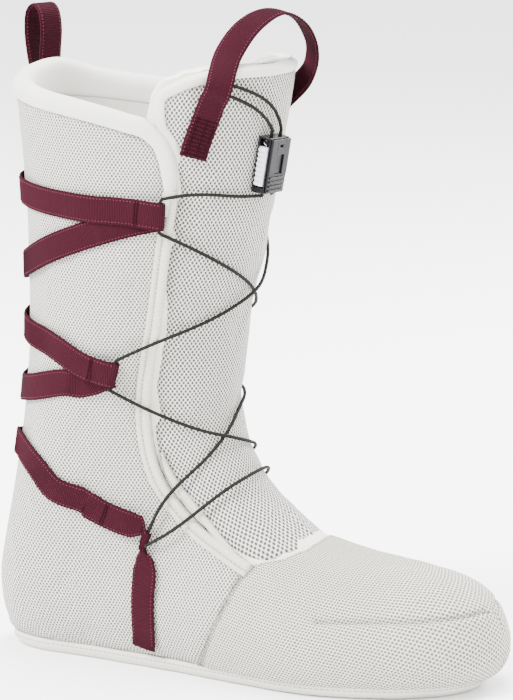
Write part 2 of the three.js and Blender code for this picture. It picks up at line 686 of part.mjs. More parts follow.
// The lace runs from the tongue's pull loop down one lock channel, crosses the tongue through six
// strap folds, and comes back up the other channel. Its rows are [section, degrees, height], with
// minus degrees on the medial side.
const LACE_LOW = LACE_DIAMETER / 2 + LACE_CLEARANCE;
const LACE_OVER = LACE_LOW + LACE_DIAMETER + 0.6;
const LACE_TO_UPPER = [[12.7, 15, 3.2], [13.02, 27, LACE_LOW], [13.3, 44, LACE_LOW], [13.55, 56, 3.4]];
const LACE_UPPER_TO_MIDDLE = [
  [12.45, 54, 2.9], [11.7, 39, LACE_LOW], [10.6, 19, LACE_LOW], [9.6, -1, LACE_LOW],
  [9.25, -24, LACE_LOW], [9.65, -42.5, LACE_LOW], [10.5, -66, 3.4],
];
const LACE_MIDDLE_TO_LOWER = [
  [9.2, -70, 3.2], [8.2, -57, LACE_LOW], [7.2, -40, LACE_LOW], [6.4, -15, LACE_LOW],
  [5.8, 8, LACE_LOW], [5.42, 22, LACE_LOW], [5.6, 46, LACE_LOW], [6.05, 62, 3.4],
];
const LACE_LOWER_ACROSS = [
  [5.6, 74.5, 4.9], [5.25, 66, 4.6], [5.05, 53, 3.2], [4.68, 33, 3.2], [4.5, 14, 3.4], [4.5, -6, 3.4],
  [4.68, -33, 3.2], [5.05, -53, 3.2], [5.25, -66, 4.6], [5.6, -74.5, 4.9],
];
const LACE_LOWER_TO_MIDDLE = [
  [6.05, -62, 3.4], [5.45, -46, LACE_LOW], [5.05, -22, LACE_LOW], [5.05, 2, LACE_LOW],
  [5.42, 22, LACE_OVER], [6.1, 35, LACE_LOW], [7.3, 50.4, LACE_LOW], [8.7, 64, 3.2],
];
const LACE_MIDDLE_TO_UPPER = [
  [10.5, 66, 3.4], [9.75, 45, LACE_LOW], [9.3, 24, LACE_LOW], [9.6, -1, LACE_OVER],
  [10.6, -19, LACE_LOW], [11.7, -39, LACE_LOW], [12.45, -54, 2.9],
];
const LACE_FROM_UPPER = [[13.55, -56, 3.4], [13.3, -44, LACE_LOW], [13.0, -20, LACE_LOW], [12.75, -4, 3.2]];
const LACE_END_LATERAL = [[15.55, 40, LACE_LOW], [15.5, 33, LACE_LOW], [15.2, 20, 3.2]];
const LACE_END_MEDIAL = [[15.78, 39, LACE_LOW], [15.72, 31, LACE_LOW], [15.4, 13, 3.2]];
const LACE_STEP = 18;

// The line through a strap's fold that the lace follows, from top to bottom.
function foldLine(strap, side) {
  const { centre, across } = strapFold(strap, 1, side);
  const reach = (strap.foldWidth ?? WEBBING_WIDTH) / 2 + 1.2;
  const upward = across.z > 0 ? 1 : -1;
  return [1, 0, -1].map((k) => centre.clone().addScaledVector(across, k * upward * reach));
}

function laceCorners() {
  const onBoot = (rows) => rows.map(([t, degrees, h]) => over(t, radians(degrees), h));
  const levels = [HALF_H + LOCK_TRAVEL + 2, HALF_H + 5, 8, -4, -HALF_H - 1.2];
  const channel = (u) => levels.map((w) => lockPoint(u, CHANNEL_HEIGHT, w));
  return [
    ...onBoot(LACE_END_LATERAL), ...channel(-CHANNEL_SPACING / 2 + 1), ...onBoot(LACE_TO_UPPER),
    ...foldLine(UPPER_STRAP, 1), ...onBoot(LACE_UPPER_TO_MIDDLE),
    ...foldLine(MIDDLE_STRAP, -1), ...onBoot(LACE_MIDDLE_TO_LOWER),
    ...foldLine(LOWER_STRAP, 1), ...onBoot(LACE_LOWER_ACROSS),
    ...foldLine(LOWER_STRAP, -1).reverse(), ...onBoot(LACE_LOWER_TO_MIDDLE),
    ...foldLine(MIDDLE_STRAP, 1).reverse(), ...onBoot(LACE_MIDDLE_TO_UPPER),
    ...foldLine(UPPER_STRAP, -1).reverse(), ...onBoot(LACE_FROM_UPPER),
    ...channel(CHANNEL_SPACING / 2 + 1).reverse(), ...onBoot(LACE_END_MEDIAL).reverse(),
  ];
}

// The corners, with one more point wherever two of them are far apart.
function lacePoints() {
  const corners = laceCorners();
  const line = new THREE.CatmullRomCurve3(corners, false, 'centripetal');
  const points = [corners[0]];
  for (let k = 1; k < corners.length; k += 1) {
    if (corners[k].distanceTo(corners[k - 1]) > LACE_STEP) {
      points.push(line.getPoint((k - 0.5) / (corners.length - 1)));
    }
    points.push(corners[k]);
  }
  return points;
}

function addLace() {
  add('lace', tube(lacePoints(), LACE_DIAMETER, 8), cordCloth);
}

// Webbing through free space: [point, face direction] rows, smoothed, with the run's own width line.
function freeWebbing(rows, steps, widthLine) {
  const centre = new THREE.CatmullRomCurve3(rows.map((r) => r[0]), false, 'centripetal');
  const facing = new THREE.CatmullRomCurve3(rows.map((r) => r[1]), false, 'centripetal');
  return Array.from({ length: steps + 1 }, (_, k) => {
    const p = centre.getPoint(k / steps);
    const forward = centre.getTangent(k / steps);
    const out = facing.getPoint(k / steps).projectOnPlane(forward).normalize();
    const across = widthLine ? widthLine.clone() : out.clone().cross(forward).normalize();
    const half = WEBBING_THICKNESS / 2;
    const at = (a, b) => p.clone()
      .addScaledVector(across, a * WEBBING_WIDTH / 2)
      .addScaledVector(out, b * half);
    return [at(1, -1), at(1, 1), at(-1, 1), at(-1, -1)];
  });
}

// The rear pull loop: a sewn tab on the outside of the cuff, and the teardrop loop over it.
const REAR_PLACE = [14.75, radians(200)];
const REAR_TOP = 338 * SHAFT_HEIGHT / NOMINAL.height;
const REAR_PROFILE = [
  [2.6, -13], [2.9, 0], [2.2, 12], [1.2, 24], [3.6, 33.5], [8.6, 36.5], [13.6, 32.5],
  [15, 22], [12.6, 8], [8.4, -5], [5.6, -13],
];

function rearFrame() {
  const out = normal(...REAR_PLACE).setZ(0).normalize();
  const base = over(...REAR_PLACE, 0);
  const across = new THREE.Vector3(-out.y, out.x, 0);
  const at = (n, z) => base.clone().addScaledVector(out, n).setZ(REAR_TOP - 36.5 + z);
  return { out, across, at };
}

function addRearLoop() {
  const { out, across, at } = rearFrame();
  const points = REAR_PROFILE.map(([n, z]) => at(n, z));
  const middle = at(7, 16);
  const rows = points.map((p) => [p, p.clone().sub(middle).setZ((p.z - middle.z) * 0.6)]);
  add('rear_pull_loop', sweep(freeWebbing(rows, 26, across)), webbing);
  const low = [[3.6, -34], [3.9, -24], [4.1, -14]].map(([n, z]) => [at(n, z), out]);
  const tab = freeWebbing(low, 2, across).map((ring, k) => ring.map((p, c) => {
    const lean = normal(...REAR_PLACE);
    const shift = c === 1 || c === 2 ? 1 : -1;
    return p.clone().addScaledVector(lean, shift * (k === 0 ? 0.75 : 0.85));
  }));
  add('rear_loop_tab', sweep(tab), webbing);
}

// The tongue's pull loop: sewn flat on both sides of the tongue, and free over its top.
const PULL_SEWN = [[14.22, 50], [14.6, 48.2], [14.95, 46.4]];
const PULL_FREE_LATERAL = [[15.02, 46, 2.6], [15.3, 45, 4.6], [15.6, 43.5, 7]];
const PULL_APEX = [
  [[60, -30, 323], [0.35, -0.75, 0.45]], [[66, -17, 337], [0.25, -0.35, 0.9]],
  [[73, 0, 342.5], [0.2, 0.15, 1]], [[80, 13, 336.5], [0.5, 0.6, 0.6]],
  [[82.5, 22, 323], [0.6, 0.8, 0.1]], [[77, 29.5, 309], [0.6, 0.8, -0.1]],
];
const PULL_FREE_MEDIAL = [[15.05, -43, 5], [14.75, -46, 3]];

function addTonguePullLoop() {
  const k = SHAFT_HEIGHT / NOMINAL.height;
  const l = OUTER_LENGTH / NOMINAL.length;
  const onTongue = ([t, degrees, h]) => [over(t, radians(degrees), h), normal(t, radians(degrees))];
  const apex = PULL_APEX.map(([p, n]) => [
    new THREE.Vector3(p[0] * l, p[1] * BALL_WIDTH / NOMINAL.width, p[2] * k),
    new THREE.Vector3(...n),
  ]);
  const rows = [...PULL_FREE_LATERAL.map(onTongue), ...apex, ...PULL_FREE_MEDIAL.map(onTongue)];
  add('tongue_pull_loop', sweep(freeWebbing(rows, 30)), webbing);
  for (const [name, sign, shift] of [['lateral', 1, 0], ['medial', -1, -0.36]]) {
    const places = PULL_SEWN.map(([t, d]) => [t + shift, radians(d * sign), 1.7]);
    add(`tongue_pull_patch_${name}`, sweep(webbingRings(places)), webbing);
  }
}

addSole();
addOuterPanels();
addInnerLayers();
addEdges();
addTongue();
addStraps();
addLock();
addLace();
addRearLoop();
addTonguePullLoop();

export default root;
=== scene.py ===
# %% [markdown]
# # The liner of a snowboard boot
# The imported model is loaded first: it fixes where every piece is. Everything made below is a nicer
# version of one of its nodes, in the same place and in metres.

# %% Load the frame
import math

import bmesh
import bpy
import numpy as np
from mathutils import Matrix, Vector


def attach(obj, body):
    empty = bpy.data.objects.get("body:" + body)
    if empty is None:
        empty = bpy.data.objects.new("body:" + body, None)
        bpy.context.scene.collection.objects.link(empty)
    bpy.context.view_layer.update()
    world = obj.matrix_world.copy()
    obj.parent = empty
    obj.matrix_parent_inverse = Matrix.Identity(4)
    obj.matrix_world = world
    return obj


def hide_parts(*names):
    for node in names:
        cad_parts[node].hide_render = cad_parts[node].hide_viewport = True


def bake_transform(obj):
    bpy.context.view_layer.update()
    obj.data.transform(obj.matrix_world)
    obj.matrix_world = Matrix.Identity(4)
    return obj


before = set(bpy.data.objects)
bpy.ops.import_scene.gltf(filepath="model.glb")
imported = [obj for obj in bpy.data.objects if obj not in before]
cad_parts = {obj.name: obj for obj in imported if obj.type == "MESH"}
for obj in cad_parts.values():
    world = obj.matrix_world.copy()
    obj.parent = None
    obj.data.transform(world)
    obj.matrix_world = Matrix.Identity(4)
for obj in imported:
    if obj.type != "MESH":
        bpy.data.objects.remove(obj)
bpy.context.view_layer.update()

MM = 0.001

# %% [markdown]
# ## The last
# A liner is sewn round a last, a solid foot shape. Here the last is a table of cross-sections from
# the toe (row 0) to above the cuff (row 17). A place on it is (t, angle): t runs along the rows, and the
# angle runs round from the front line (0), over the outer side (+90) to the back (180).

# %% The outer surface
# Back x, back z, front x, front z, share of the widest place, half width, middle y, and how square
# the front and the back are; in mm, from the toe to above the cuff.
SECTIONS = np.array([
    [199, -2, 195, 58, 0.42, 36, 9, 2.3, 2.2],
    [170, -3, 169, 60, 0.40, 41.5, 5, 2.2, 2.3],
    [140, -6, 137, 64, 0.38, 46.5, 0, 2.1, 2.3],
    [105, -7, 102, 74, 0.37, 49, -5, 2.0, 2.3],
    [62, -8, 72, 93, 0.37, 43.5, -5, 2.0, 2.3],
    [15, -9, 56, 118, 0.39, 38.5, -3, 2.0, 2.3],
    [-30, -9, 50, 140, 0.42, 37, -1, 2.0, 2.3],
    [-64, -7, 51, 159, 0.46, 39, 0, 2.1, 2.3],
    [-80, 9, 53, 177, 0.48, 41, 0, 2.1, 2.3],
    [-84, 35, 55, 192, 0.48, 44, 0, 2.1, 2.3],
    [-78, 71, 58, 206, 0.48, 47, 1, 2.1, 2.2],
    [-71, 110, 62, 220, 0.48, 50, 1, 2.1, 2.1],
    [-66, 155, 64, 236, 0.48, 53, 1, 2.1, 2.0],
    [-65, 205, 67, 254, 0.48, 55, 1, 2.1, 2.0],
    [-67, 250, 70, 272, 0.48, 55, 1, 2.1, 2.0],
    [-71, 292, 74, 292, 0.48, 55, 1, 2.1, 2.0],
    [-75, 334, 78, 312, 0.48, 55, 1, 2.1, 2.0],
    [-79, 376, 82, 332, 0.48, 55, 1, 2.1, 2.0],
])
TOE_DOME = 1.6
TOE_TIP_HEIGHT = 22
STEP = 0.02


def rows_at(t):
    last = len(SECTIONS) - 1
    i = np.clip(np.floor(t).astype(int), 0, last - 1)
    f = (t - i)[..., None]
    p1, p2 = SECTIONS[i], SECTIONS[i + 1]
    p0 = np.where((i > 0)[..., None], SECTIONS[np.maximum(i - 1, 0)], 2 * p1 - p2)
    p3 = np.where((i + 2 <= last)[..., None], SECTIONS[np.minimum(i + 2, last)], 2 * p2 - p1)
    cubic = 3 * (p1 - p2) + p3 - p0
    return p1 + 0.5 * f * (p2 - p0 + f * (2 * p0 - 5 * p1 + 4 * p2 - p3 + f * cubic))


def section_middle(t):
    r = rows_at(t)
    k = np.clip(t / TOE_DOME, 0, 1)
    dome = np.maximum(1 - (1 - k) ** 2.2, 0) ** (1 / 2.2)
    x = r[..., 0] + r[..., 4] * (r[..., 2] - r[..., 0])
    z = r[..., 1] + r[..., 4] * (r[..., 3] - r[..., 1])
    z = TOE_TIP_HEIGHT + (z - TOE_TIP_HEIGHT) * dome
    return np.stack([x, r[..., 6], z], -1), r, dome


def surface(t, angle):
    t, angle = np.broadcast_arrays(np.asarray(t, float), np.asarray(angle, float))
    middle, r, dome = section_middle(t)
    c, s = np.cos(angle), np.sin(angle)
    power = 2 / np.where(c >= 0, r[..., 7], r[..., 8])
    along = np.abs(c) ** power
    across = np.sign(s) * np.abs(s) ** power
    end_x = middle[..., 0] + (np.where(c >= 0, r[..., 2], r[..., 0]) - middle[..., 0]) * dome
    end_z = TOE_TIP_HEIGHT + (np.where(c >= 0, r[..., 3], r[..., 1]) - TOE_TIP_HEIGHT) * dome
    return np.stack([
        middle[..., 0] + (end_x - middle[..., 0]) * along,
        middle[..., 1] - r[..., 5] * dome * across,
        middle[..., 2] + (end_z - middle[..., 2]) * along,
    ], -1)


def unit(v):
    return v / np.maximum(np.linalg.norm(v, axis=-1, keepdims=True), 1e-9)


def slopes(t, angle):
    at = np.maximum(t, 0.03)
    along = (surface(at + STEP, angle) - surface(at - STEP, angle)) / (2 * STEP)
    around = (surface(at, angle + STEP) - surface(at, angle - STEP)) / (2 * STEP)
    return along, around


def normal(t, angle):
    t, angle = np.broadcast_arrays(np.asarray(t, float), np.asarray(angle, float))
    along, around = slopes(t, angle)
    n = unit(np.cross(along, around))
    out = surface(t, angle) - section_middle(np.maximum(t, 0.03))[0]
    n = np.where((n * out).sum(-1, keepdims=True) < 0, -n, n)
    return np.where((t < 0.01)[..., None], np.array([1.0, 0, 0]), n)


def over(t, angle, height):
    return surface(t, angle) + normal(t, angle) * np.asarray(height, float)[..., None]


def walk(t, angle, direction, distance):
    a, b = slopes(t, angle)
    aa, ab, bb = (a * a).sum(-1), (a * b).sum(-1), (b * b).sum(-1)
    da, db = (direction * a).sum(-1), (direction * b).sum(-1)
    det = aa * bb - ab * ab
    return t + distance * (da * bb - db * ab) / det, angle + distance * (db * aa - da * ab) / det


def smooth(x):
    k = np.clip(x, 0, 1)
    return k * k * (3 - 2 * k)


heel = surface(8.0, math.pi)
print("heel at", np.round(heel, 1), "mm; cuff width", round(float(-surface(15.0, math.pi / 2)[1] * 2)), "mm")

# %% [markdown]
# ## Lines on the last
# Seams, tapes and straps follow lines. A line is a few chosen places with a smooth curve through
# them, cut into equal steps, so that whatever is laid along it is spaced evenly.

# %% Smooth lines
DEGREES_PER_ROW = 8


def through(points, per=24):
    """A centripetal curve through points, as many close points."""
    p = np.asarray(points, float)
    p = np.vstack([2 * p[0] - p[1], p, 2 * p[-1] - p[-2]])
    made = []
    for i in range(1, len(p) - 2):
        a, b, c, d = p[i - 1:i + 3]
        k0 = 0.0
        k1 = k0 + max(np.linalg.norm(b - a), 1e-6) ** 0.5
        k2 = k1 + max(np.linalg.norm(c - b), 1e-6) ** 0.5
        k3 = k2 + max(np.linalg.norm(d - c), 1e-6) ** 0.5
        k = np.linspace(k1, k2, per, endpoint=False)[:, None]
        ab = (k1 - k) / (k1 - k0) * a + (k - k0) / (k1 - k0) * b
        bc = (k2 - k) / (k2 - k1) * b + (k - k1) / (k2 - k1) * c
        cd = (k3 - k) / (k3 - k2) * c + (k - k2) / (k3 - k2) * d
        abc = (k2 - k) / (k2 - k0) * ab + (k - k0) / (k2 - k0) * bc
        bcd = (k3 - k) / (k3 - k1) * bc + (k - k1) / (k3 - k1) * cd
        made.append((k2 - k) / (k2 - k1) * abc + (k - k1) / (k2 - k1) * bcd)
    made.append(p[-2][None])
    return np.vstack(made)


def spaced(rows, count, lengths=None):
    """count rows at even lengths; lengths are measured on the points given, or on the rows."""
    rows = np.asarray(rows, float)
    p = rows if lengths is None else lengths
    done = np.concatenate([[0], np.cumsum(np.linalg.norm(np.diff(p, axis=0), axis=1))])
    wanted = np.linspace(0, done[-1], count)
    return np.stack([np.interp(wanted, done, rows[:, k]) for k in range(rows.shape[1])], -1)


def places(rows, count=None, step=None, side=1):
    """Evenly spaced (t, angle, height) along a line of [t, degrees, height] rows."""
    full = np.array([[r[0] * DEGREES_PER_ROW, r[1], r[2] if len(r) > 2 else 0] for r in rows], float)
    line = through(full)
    line = np.stack([line[:, 0] / DEGREES_PER_ROW, np.radians(line[:, 1]) * side, line[:, 2]], -1)
    on = over(line[:, 0], line[:, 1], line[:, 2])
    if count is None:
        count = max(int(np.linalg.norm(np.diff(on, axis=0), axis=1).sum() / step), 3) + 1
    return spaced(line, count, on)


FRONT_TAPE = [
    [3.85, 55.5], [4.3, 57], [4.9, 60.3], [5.8, 61.5], [7, 63.5], [8, 64.2], [9.1, 63.5],
    [10.1, 63.5], [11.1, 63.3], [11.9, 62], [12.7, 60.5], [13.35, 59.2],
]
COLLAR = [
    [13.45, 59.6], [14.05, 61.6], [14.45, 65], [14.72, 71], [14.85, 80], [14.96, 90],
    [15.05, 105], [15.1, 122], [15.16, 150], [15.22, 180],
]
TONGUE_EDGE = [
    [3.0, 6], [3.06, 20], [3.3, 36], [3.7, 50], [3.95, 55], [4.3, 57], [4.9, 60.3], [5.8, 61.5],
    [7, 63.5], [8, 64.2], [9.1, 63.5], [10.1, 63.5], [11.1, 63.3], [11.9, 62], [12.7, 60.5],
    [13.35, 59.2], [14.05, 61.6], [14.45, 65], [14.8, 70], [15.35, 71], [15.65, 64],
    [15.95, 50], [16.1, 36], [16.2, 10],
]
tape_line = places(FRONT_TAPE, step=1)
print("front tape", len(tape_line), "mm long")

# %% [markdown]
# ## Finishes
# Every finish is made of nodes. Patterns that must follow the cloth read the piece's own UV map,
# which is laid out in metres, so a knit hole is the same size on every panel.

# %% Helpers for finishes


def new_material(name, colour, roughness, metallic=0.0, sheen=0.0, coat=0.0, shine=0.5):
    material = bpy.data.materials.new(name)
    material.use_nodes = True
    shader = material.node_tree.nodes["Principled BSDF"]
    shader.inputs["Base Color"].default_value = (*colour, 1)
    shader.inputs["Roughness"].default_value = roughness
    shader.inputs["Metallic"].default_value = metallic
    shader.inputs["Sheen Weight"].default_value = sheen
    shader.inputs["Sheen Roughness"].default_value = 0.6
    shader.inputs["Coat Weight"].default_value = coat
    shader.inputs["Specular IOR Level"].default_value = shine
    material.diffuse_color = (*colour, 1)
    return material, material.node_tree, shader


def add_node(tree, kind, **settings):
    made = tree.nodes.new(kind)
    for key, value in settings.items():
        setattr(made, key, value)
    return made


def feed(tree, socket, value):
    if hasattr(value, "is_linked"):
        tree.links.new(value, socket)
    else:
        socket.default_value = value


def maths(tree, operation, *values):
    made = add_node(tree, "ShaderNodeMath", operation=operation)
    for socket, value in zip(made.inputs, values):
        feed(tree, socket, value)
    return made.outputs[0]


def ramp(tree, value, low, high, to_low=0.0, to_high=1.0):
    made = add_node(tree, "ShaderNodeMapRange", interpolation_type="SMOOTHSTEP")
    for socket, given in zip(made.inputs, (value, low, high, to_low, to_high)):
        feed(tree, socket, given)
    return made.outputs[0]


def mix(tree, factor, one, two):
    made = add_node(tree, "ShaderNodeMix", data_type="RGBA")
    feed(tree, made.inputs["Factor"], factor)
    for name, value in (("A", one), ("B", two)):
        socket = [s for s in made.inputs if s.name == name and s.type == "RGBA"][0]
        feed(tree, socket, value if hasattr(value, "is_linked") else (*value, 1))
    return [s for s in made.outputs if s.type == "RGBA"][0]


def noise(tree, vector, scale, detail=2.0, roughness=0.5):
    made = add_node(tree, "ShaderNodeTexNoise")
    feed(tree, made.inputs["Vector"], vector)
    made.inputs["Scale"].default_value = scale
    made.inputs["Detail"].default_value = detail
    made.inputs["Roughness"].default_value = roughness
    return made.outputs["Fac"]


def coordinate(tree, kind):
    return add_node(tree, "ShaderNodeTexCoord").outputs[kind]


def bump(tree, shader, height, distance, strength=1.0):
    made = add_node(tree, "ShaderNodeBump")
    made.inputs["Strength"].default_value = strength
    made.inputs["Distance"].default_value = distance
    feed(tree, made.inputs["Height"], height)
    tree.links.new(made.outputs["Normal"], shader.inputs["Normal"])


def uv_mm(tree):
    """The piece's UV map in millimetres: (along or across, up)."""
    split = add_node(tree, "ShaderNodeSeparateXYZ")
    tree.links.new(coordinate(tree, "UV"), split.inputs[0])
    u, v = (maths(tree, "MULTIPLY", split.outputs[k], 1000.0) for k in (0, 1))
    return u, v


print("finish helpers ready")

# %% [markdown]
# ## Spacer mesh
# The outside of a liner is spacer mesh: two knitted faces held apart by upright yarns. The outer
# face has rows of small oval holes, each row half a step along from the last. One finish makes it,
# with the pitch and the hole size as its values; the tongue has a coarser knit than the quarters.

# %% Spacer mesh finish


def spacer_mesh(name, pitch, rise, hole_width, hole_height, dark, colour=(0.56, 0.545, 0.50)):
    material, tree, shader = new_material(name, colour, 0.92, shine=0.2)
    u, v = uv_mm(tree)
    place = coordinate(tree, "Object")
    wander = maths(tree, "SUBTRACT", noise(tree, place, 260.0, 1.0), 0.5)
    u = maths(tree, "ADD", u, maths(tree, "MULTIPLY", wander, 0.8))
    v = maths(tree, "ADD", v, maths(tree, "MULTIPLY", wander, 0.6))
    row = maths(tree, "DIVIDE", v, rise)
    shift = maths(tree, "MULTIPLY", maths(tree, "FLOORED_MODULO", maths(tree, "FLOOR", row), 2.0), 0.5)
    column = maths(tree, "ADD", maths(tree, "DIVIDE", u, pitch), shift)
    across = maths(tree, "SUBTRACT", maths(tree, "FRACT", column), 0.5)
    across = maths(tree, "MULTIPLY", across, 2 * pitch / hole_width)
    up = maths(tree, "SUBTRACT", maths(tree, "FRACT", row), 0.5)
    up = maths(tree, "MULTIPLY", up, 2 * rise / hole_height)
    away = maths(tree, "SQRT", maths(tree, "ADD", maths(tree, "POWER", maths(tree, "ABSOLUTE", across), 2.0),
                                   maths(tree, "POWER", maths(tree, "ABSOLUTE", up), 2.0)))
    hole = ramp(tree, away, 1.35, 0.55)
    patch = ramp(tree, noise(tree, place, 34.0, 3.0), 0.3, 0.7, 0.0, 0.45)
    fuzz = noise(tree, place, 1700.0, 2.0, 0.6)
    plain = mix(tree, patch, colour, tuple(c * 0.93 for c in colour))
    plain = mix(tree, maths(tree, "MULTIPLY", fuzz, 0.22), plain, tuple(c * 0.72 for c in colour))
    # The holes are painted near black: painted shade inside the holes, darkest in the tongue's deep knit.
    tree.links.new(mix(tree, maths(tree, "MULTIPLY", hole, 0.94), plain, dark), shader.inputs["Base Color"])
    height = maths(tree, "SUBTRACT", maths(tree, "MULTIPLY", fuzz, 0.22), hole)
    bump(tree, shader, height, 0.0007, 0.9)
    return material


# Name, then pitch, rise and the hole's width and height in mm, and the colour of the painted shade in the
# holes.
quarter_cloth = spacer_mesh("quarter spacer mesh", 1.95, 1.45, 1.15, 1.35, (0.055, 0.053, 0.048))
vamp_cloth = spacer_mesh("vamp spacer mesh", 1.85, 1.4, 1.05, 1.2, (0.08, 0.076, 0.066), (0.52, 0.50, 0.44))
tongue_cloth = spacer_mesh("tongue spacer mesh", 2.3, 1.6, 1.25, 1.8, (0.016, 0.016, 0.016))
print("three spacer meshes")

# %% [markdown]
# ## The other cloths
# The collar and the lining are a smooth brushed knit. The front tape is ribbed satin. The straps
# and loops are grosgrain: a flat webbing with a rib across it at every weft yarn.

# %% Cloth finishes
RIB = 0.92
YARN_PITCH = 0.55


def brushed_knit(name, colour, roughness=0.85):
    material, tree, shader = new_material(name, colour, roughness, shine=0.2)
    place = coordinate(tree, "Object")
    patch = ramp(tree, noise(tree, place, 26.0, 3.0), 0.3, 0.7, 0.0, 0.5)
    fuzz = noise(tree, place, 1400.0, 3.0, 0.65)
    base = mix(tree, patch, colour, tuple(c * 0.94 for c in colour))
    tree.links.new(mix(tree, maths(tree, "MULTIPLY", fuzz, 0.2), base, tuple(c * 0.8 for c in colour)),
                   shader.inputs["Base Color"])
    bump(tree, shader, fuzz, 0.00012, 0.8)
    return material


def ribbed(name, colour, dark, pitch, roughness, shine, rib_depth, fleck=0.0):
    material, tree, shader = new_material(name, colour, roughness, shine=shine)
    u, v = uv_mm(tree)
    place = coordinate(tree, "Object")
    fuzz = noise(tree, place, 2200.0, 2.0, 0.6)
    wave = maths(tree, "SINE", maths(tree, "MULTIPLY", u, 2 * math.pi / pitch))
    yarn = maths(tree, "SINE", maths(tree, "MULTIPLY", v, 2 * math.pi / YARN_PITCH))
    # The grooves between the ribs are painted darker: painted shade in the grooves. The fuzz flecks mixed in
    # below are the cloth's own.
    groove_shade = ramp(tree, wave, -0.1, -1.0)
    base = mix(tree, maths(tree, "MULTIPLY", groove_shade, 0.8), colour, dark)
    base = mix(tree, maths(tree, "MULTIPLY", fuzz, 0.3 + fleck), base, dark)
    tree.links.new(base, shader.inputs["Base Color"])
    height = maths(tree, "ADD", wave, maths(tree, "MULTIPLY", yarn, 0.25))
    bump(tree, shader, maths(tree, "ADD", height, maths(tree, "MULTIPLY", fuzz, 0.4)), rib_depth, 0.8)
    return material


collar_cloth = brushed_knit("collar knit", (0.54, 0.527, 0.49))
lining_cloth = brushed_knit("lining knit", (0.50, 0.49, 0.455))
rand_cloth = brushed_knit("rand tape", (0.56, 0.545, 0.49))
satin = ribbed("ribbed satin", (0.60, 0.57, 0.49), (0.24, 0.225, 0.185), 1.05, 0.42, 0.4, 0.00014)
grosgrain = ribbed(
    "burgundy grosgrain", (0.036, 0.0058, 0.0115), (0.009, 0.0014, 0.003), RIB, 0.7, 0.03, 0.00022, fleck=0.1)
# Ivory thread painted much darker than ivory: painted shade on the stitches.
shaded_ivory_thread = new_material("shaded ivory thread", (0.22, 0.21, 0.19), 0.8)[0]
red_thread = new_material("burgundy thread", (0.11, 0.022, 0.036), 0.6, shine=0.1)[0]
dark_red_thread = new_material("dark burgundy thread", (0.011, 0.0014, 0.003), 0.7, shine=0.03)[0]
print("cloth finishes ready")

# %% [markdown]
# ## Plastics, board and foam
# The lace lock is a glossy black moulding with a white key. Below the foot there are a fibre board
# and a felt-like bottom; foam and stiffener are inside, where only an open tongue shows their edges.

# %% Hard finishes
BRAID_PITCH = 0.95


def moulded(name, colour, roughness, grain, shine):
    material, tree, shader = new_material(name, colour, roughness, shine=shine)
    place = coordinate(tree, "Object")
    fine = noise(tree, place, 2600.0, 2.0)
    wear = noise(tree, place, 160.0, 3.0)
    tree.links.new(ramp(tree, wear, 0.2, 0.8, roughness - 0.08, roughness + 0.1), shader.inputs["Roughness"])
    worn = tuple(c * 1.25 + 0.01 for c in colour)
    base = mix(tree, ramp(tree, wear, 0.45, 0.9, 0.0, 0.25), colour, worn)
    tree.links.new(base, shader.inputs["Base Color"])
    bump(tree, shader, fine, grain, 0.5)
    return material


def felted(name, colour, scale):
    material, tree, shader = new_material(name, colour, 0.95)
    place = coordinate(tree, "Object")
    coarse = noise(tree, place, scale, 4.0, 0.7)
    tree.links.new(mix(tree, coarse, tuple(c * 1.08 for c in colour), tuple(c * 0.78 for c in colour)),
                   shader.inputs["Base Color"])
    bump(tree, shader, coarse, 0.0003, 0.7)
    return material


black_plastic = moulded("black plastic", (0.0035, 0.0035, 0.0045), 0.28, 0.00002, 0.14)
white_plastic = moulded("white plastic", (0.58, 0.58, 0.62), 0.45, 0.00003, 0.3)
steel = new_material("spring steel", (0.55, 0.56, 0.58), 0.3, metallic=1.0)[0]
foam_finish = felted("closed-cell foam", (0.66, 0.63, 0.55), 900.0)
board_finish = felted("fibre board", (0.56, 0.53, 0.45), 420.0)
cup_finish = felted("stiffener", (0.60, 0.60, 0.57), 300.0)


def braided():
    material, tree, shader = new_material("dark braid", (0.035, 0.036, 0.03), 0.65, shine=0.04)
    u, v = uv_mm(tree)
    one, two = (
        maths(tree, "SINE", maths(tree, "MULTIPLY", maths(tree, way, u, v), 2 * math.pi / BRAID_PITCH))
        for way in ("ADD", "SUBTRACT"))
    weave = maths(tree, "MAXIMUM", one, two)
    # The low parts of the weave are painted darker: painted shade between the yarns.
    tree.links.new(mix(tree, ramp(tree, weave, -0.2, 1.0), (0.004, 0.004, 0.0036), (0.016, 0.0165, 0.0135)),
                   shader.inputs["Base Color"])
    bump(tree, shader, weave, 0.00012, 0.8)
    return material


braid = braided()
print("hard finishes ready")

# %% [markdown]
# ## From numbers to pieces
# A panel starts as a grid of corners. Its UV map is found by flattening it, as a pattern cutter
# does, then scaled to true size and turned so that up on the cloth is up on the boot.

# %% Making meshes


def link(obj):
    bpy.context.scene.collection.objects.link(obj)
    return obj


def mesh_piece(name, points, faces, material, uvs=None, flat=False):
    mesh = bpy.data.meshes.new(name)
    mesh.from_pydata((np.asarray(points) * MM).tolist(), [], [list(map(int, f)) for f in faces])
    mesh.materials.append(material)
    if uvs is not None:
        layer = mesh.uv_layers.new(name="UVMap")
        layer.data.foreach_set("uv", np.asarray(uvs, np.float32).ravel())
    mesh.polygons.foreach_set("use_smooth", [not flat] * len(mesh.polygons))
    mesh.update()
    return link(bpy.data.objects.new(name, mesh))


def grid_faces(rows, columns, wrap=False, start=0):
    i, j = np.meshgrid(np.arange(rows - 1), np.arange(columns if wrap else columns - 1), indexing="ij")
    k = (j + 1) % columns
    faces = np.stack([i * columns + j, i * columns + k, (i + 1) * columns + k, (i + 1) * columns + j], -1)
    return faces.reshape(-1, 4) + start


def only(obj):
    bpy.ops.object.select_all(action="DESELECT")
    obj.select_set(True)
    bpy.context.view_layer.objects.active = obj


def coordinates(mesh):
    co = np.zeros(len(mesh.vertices) * 3)
    mesh.vertices.foreach_get("co", co)
    return co.reshape(-1, 3)


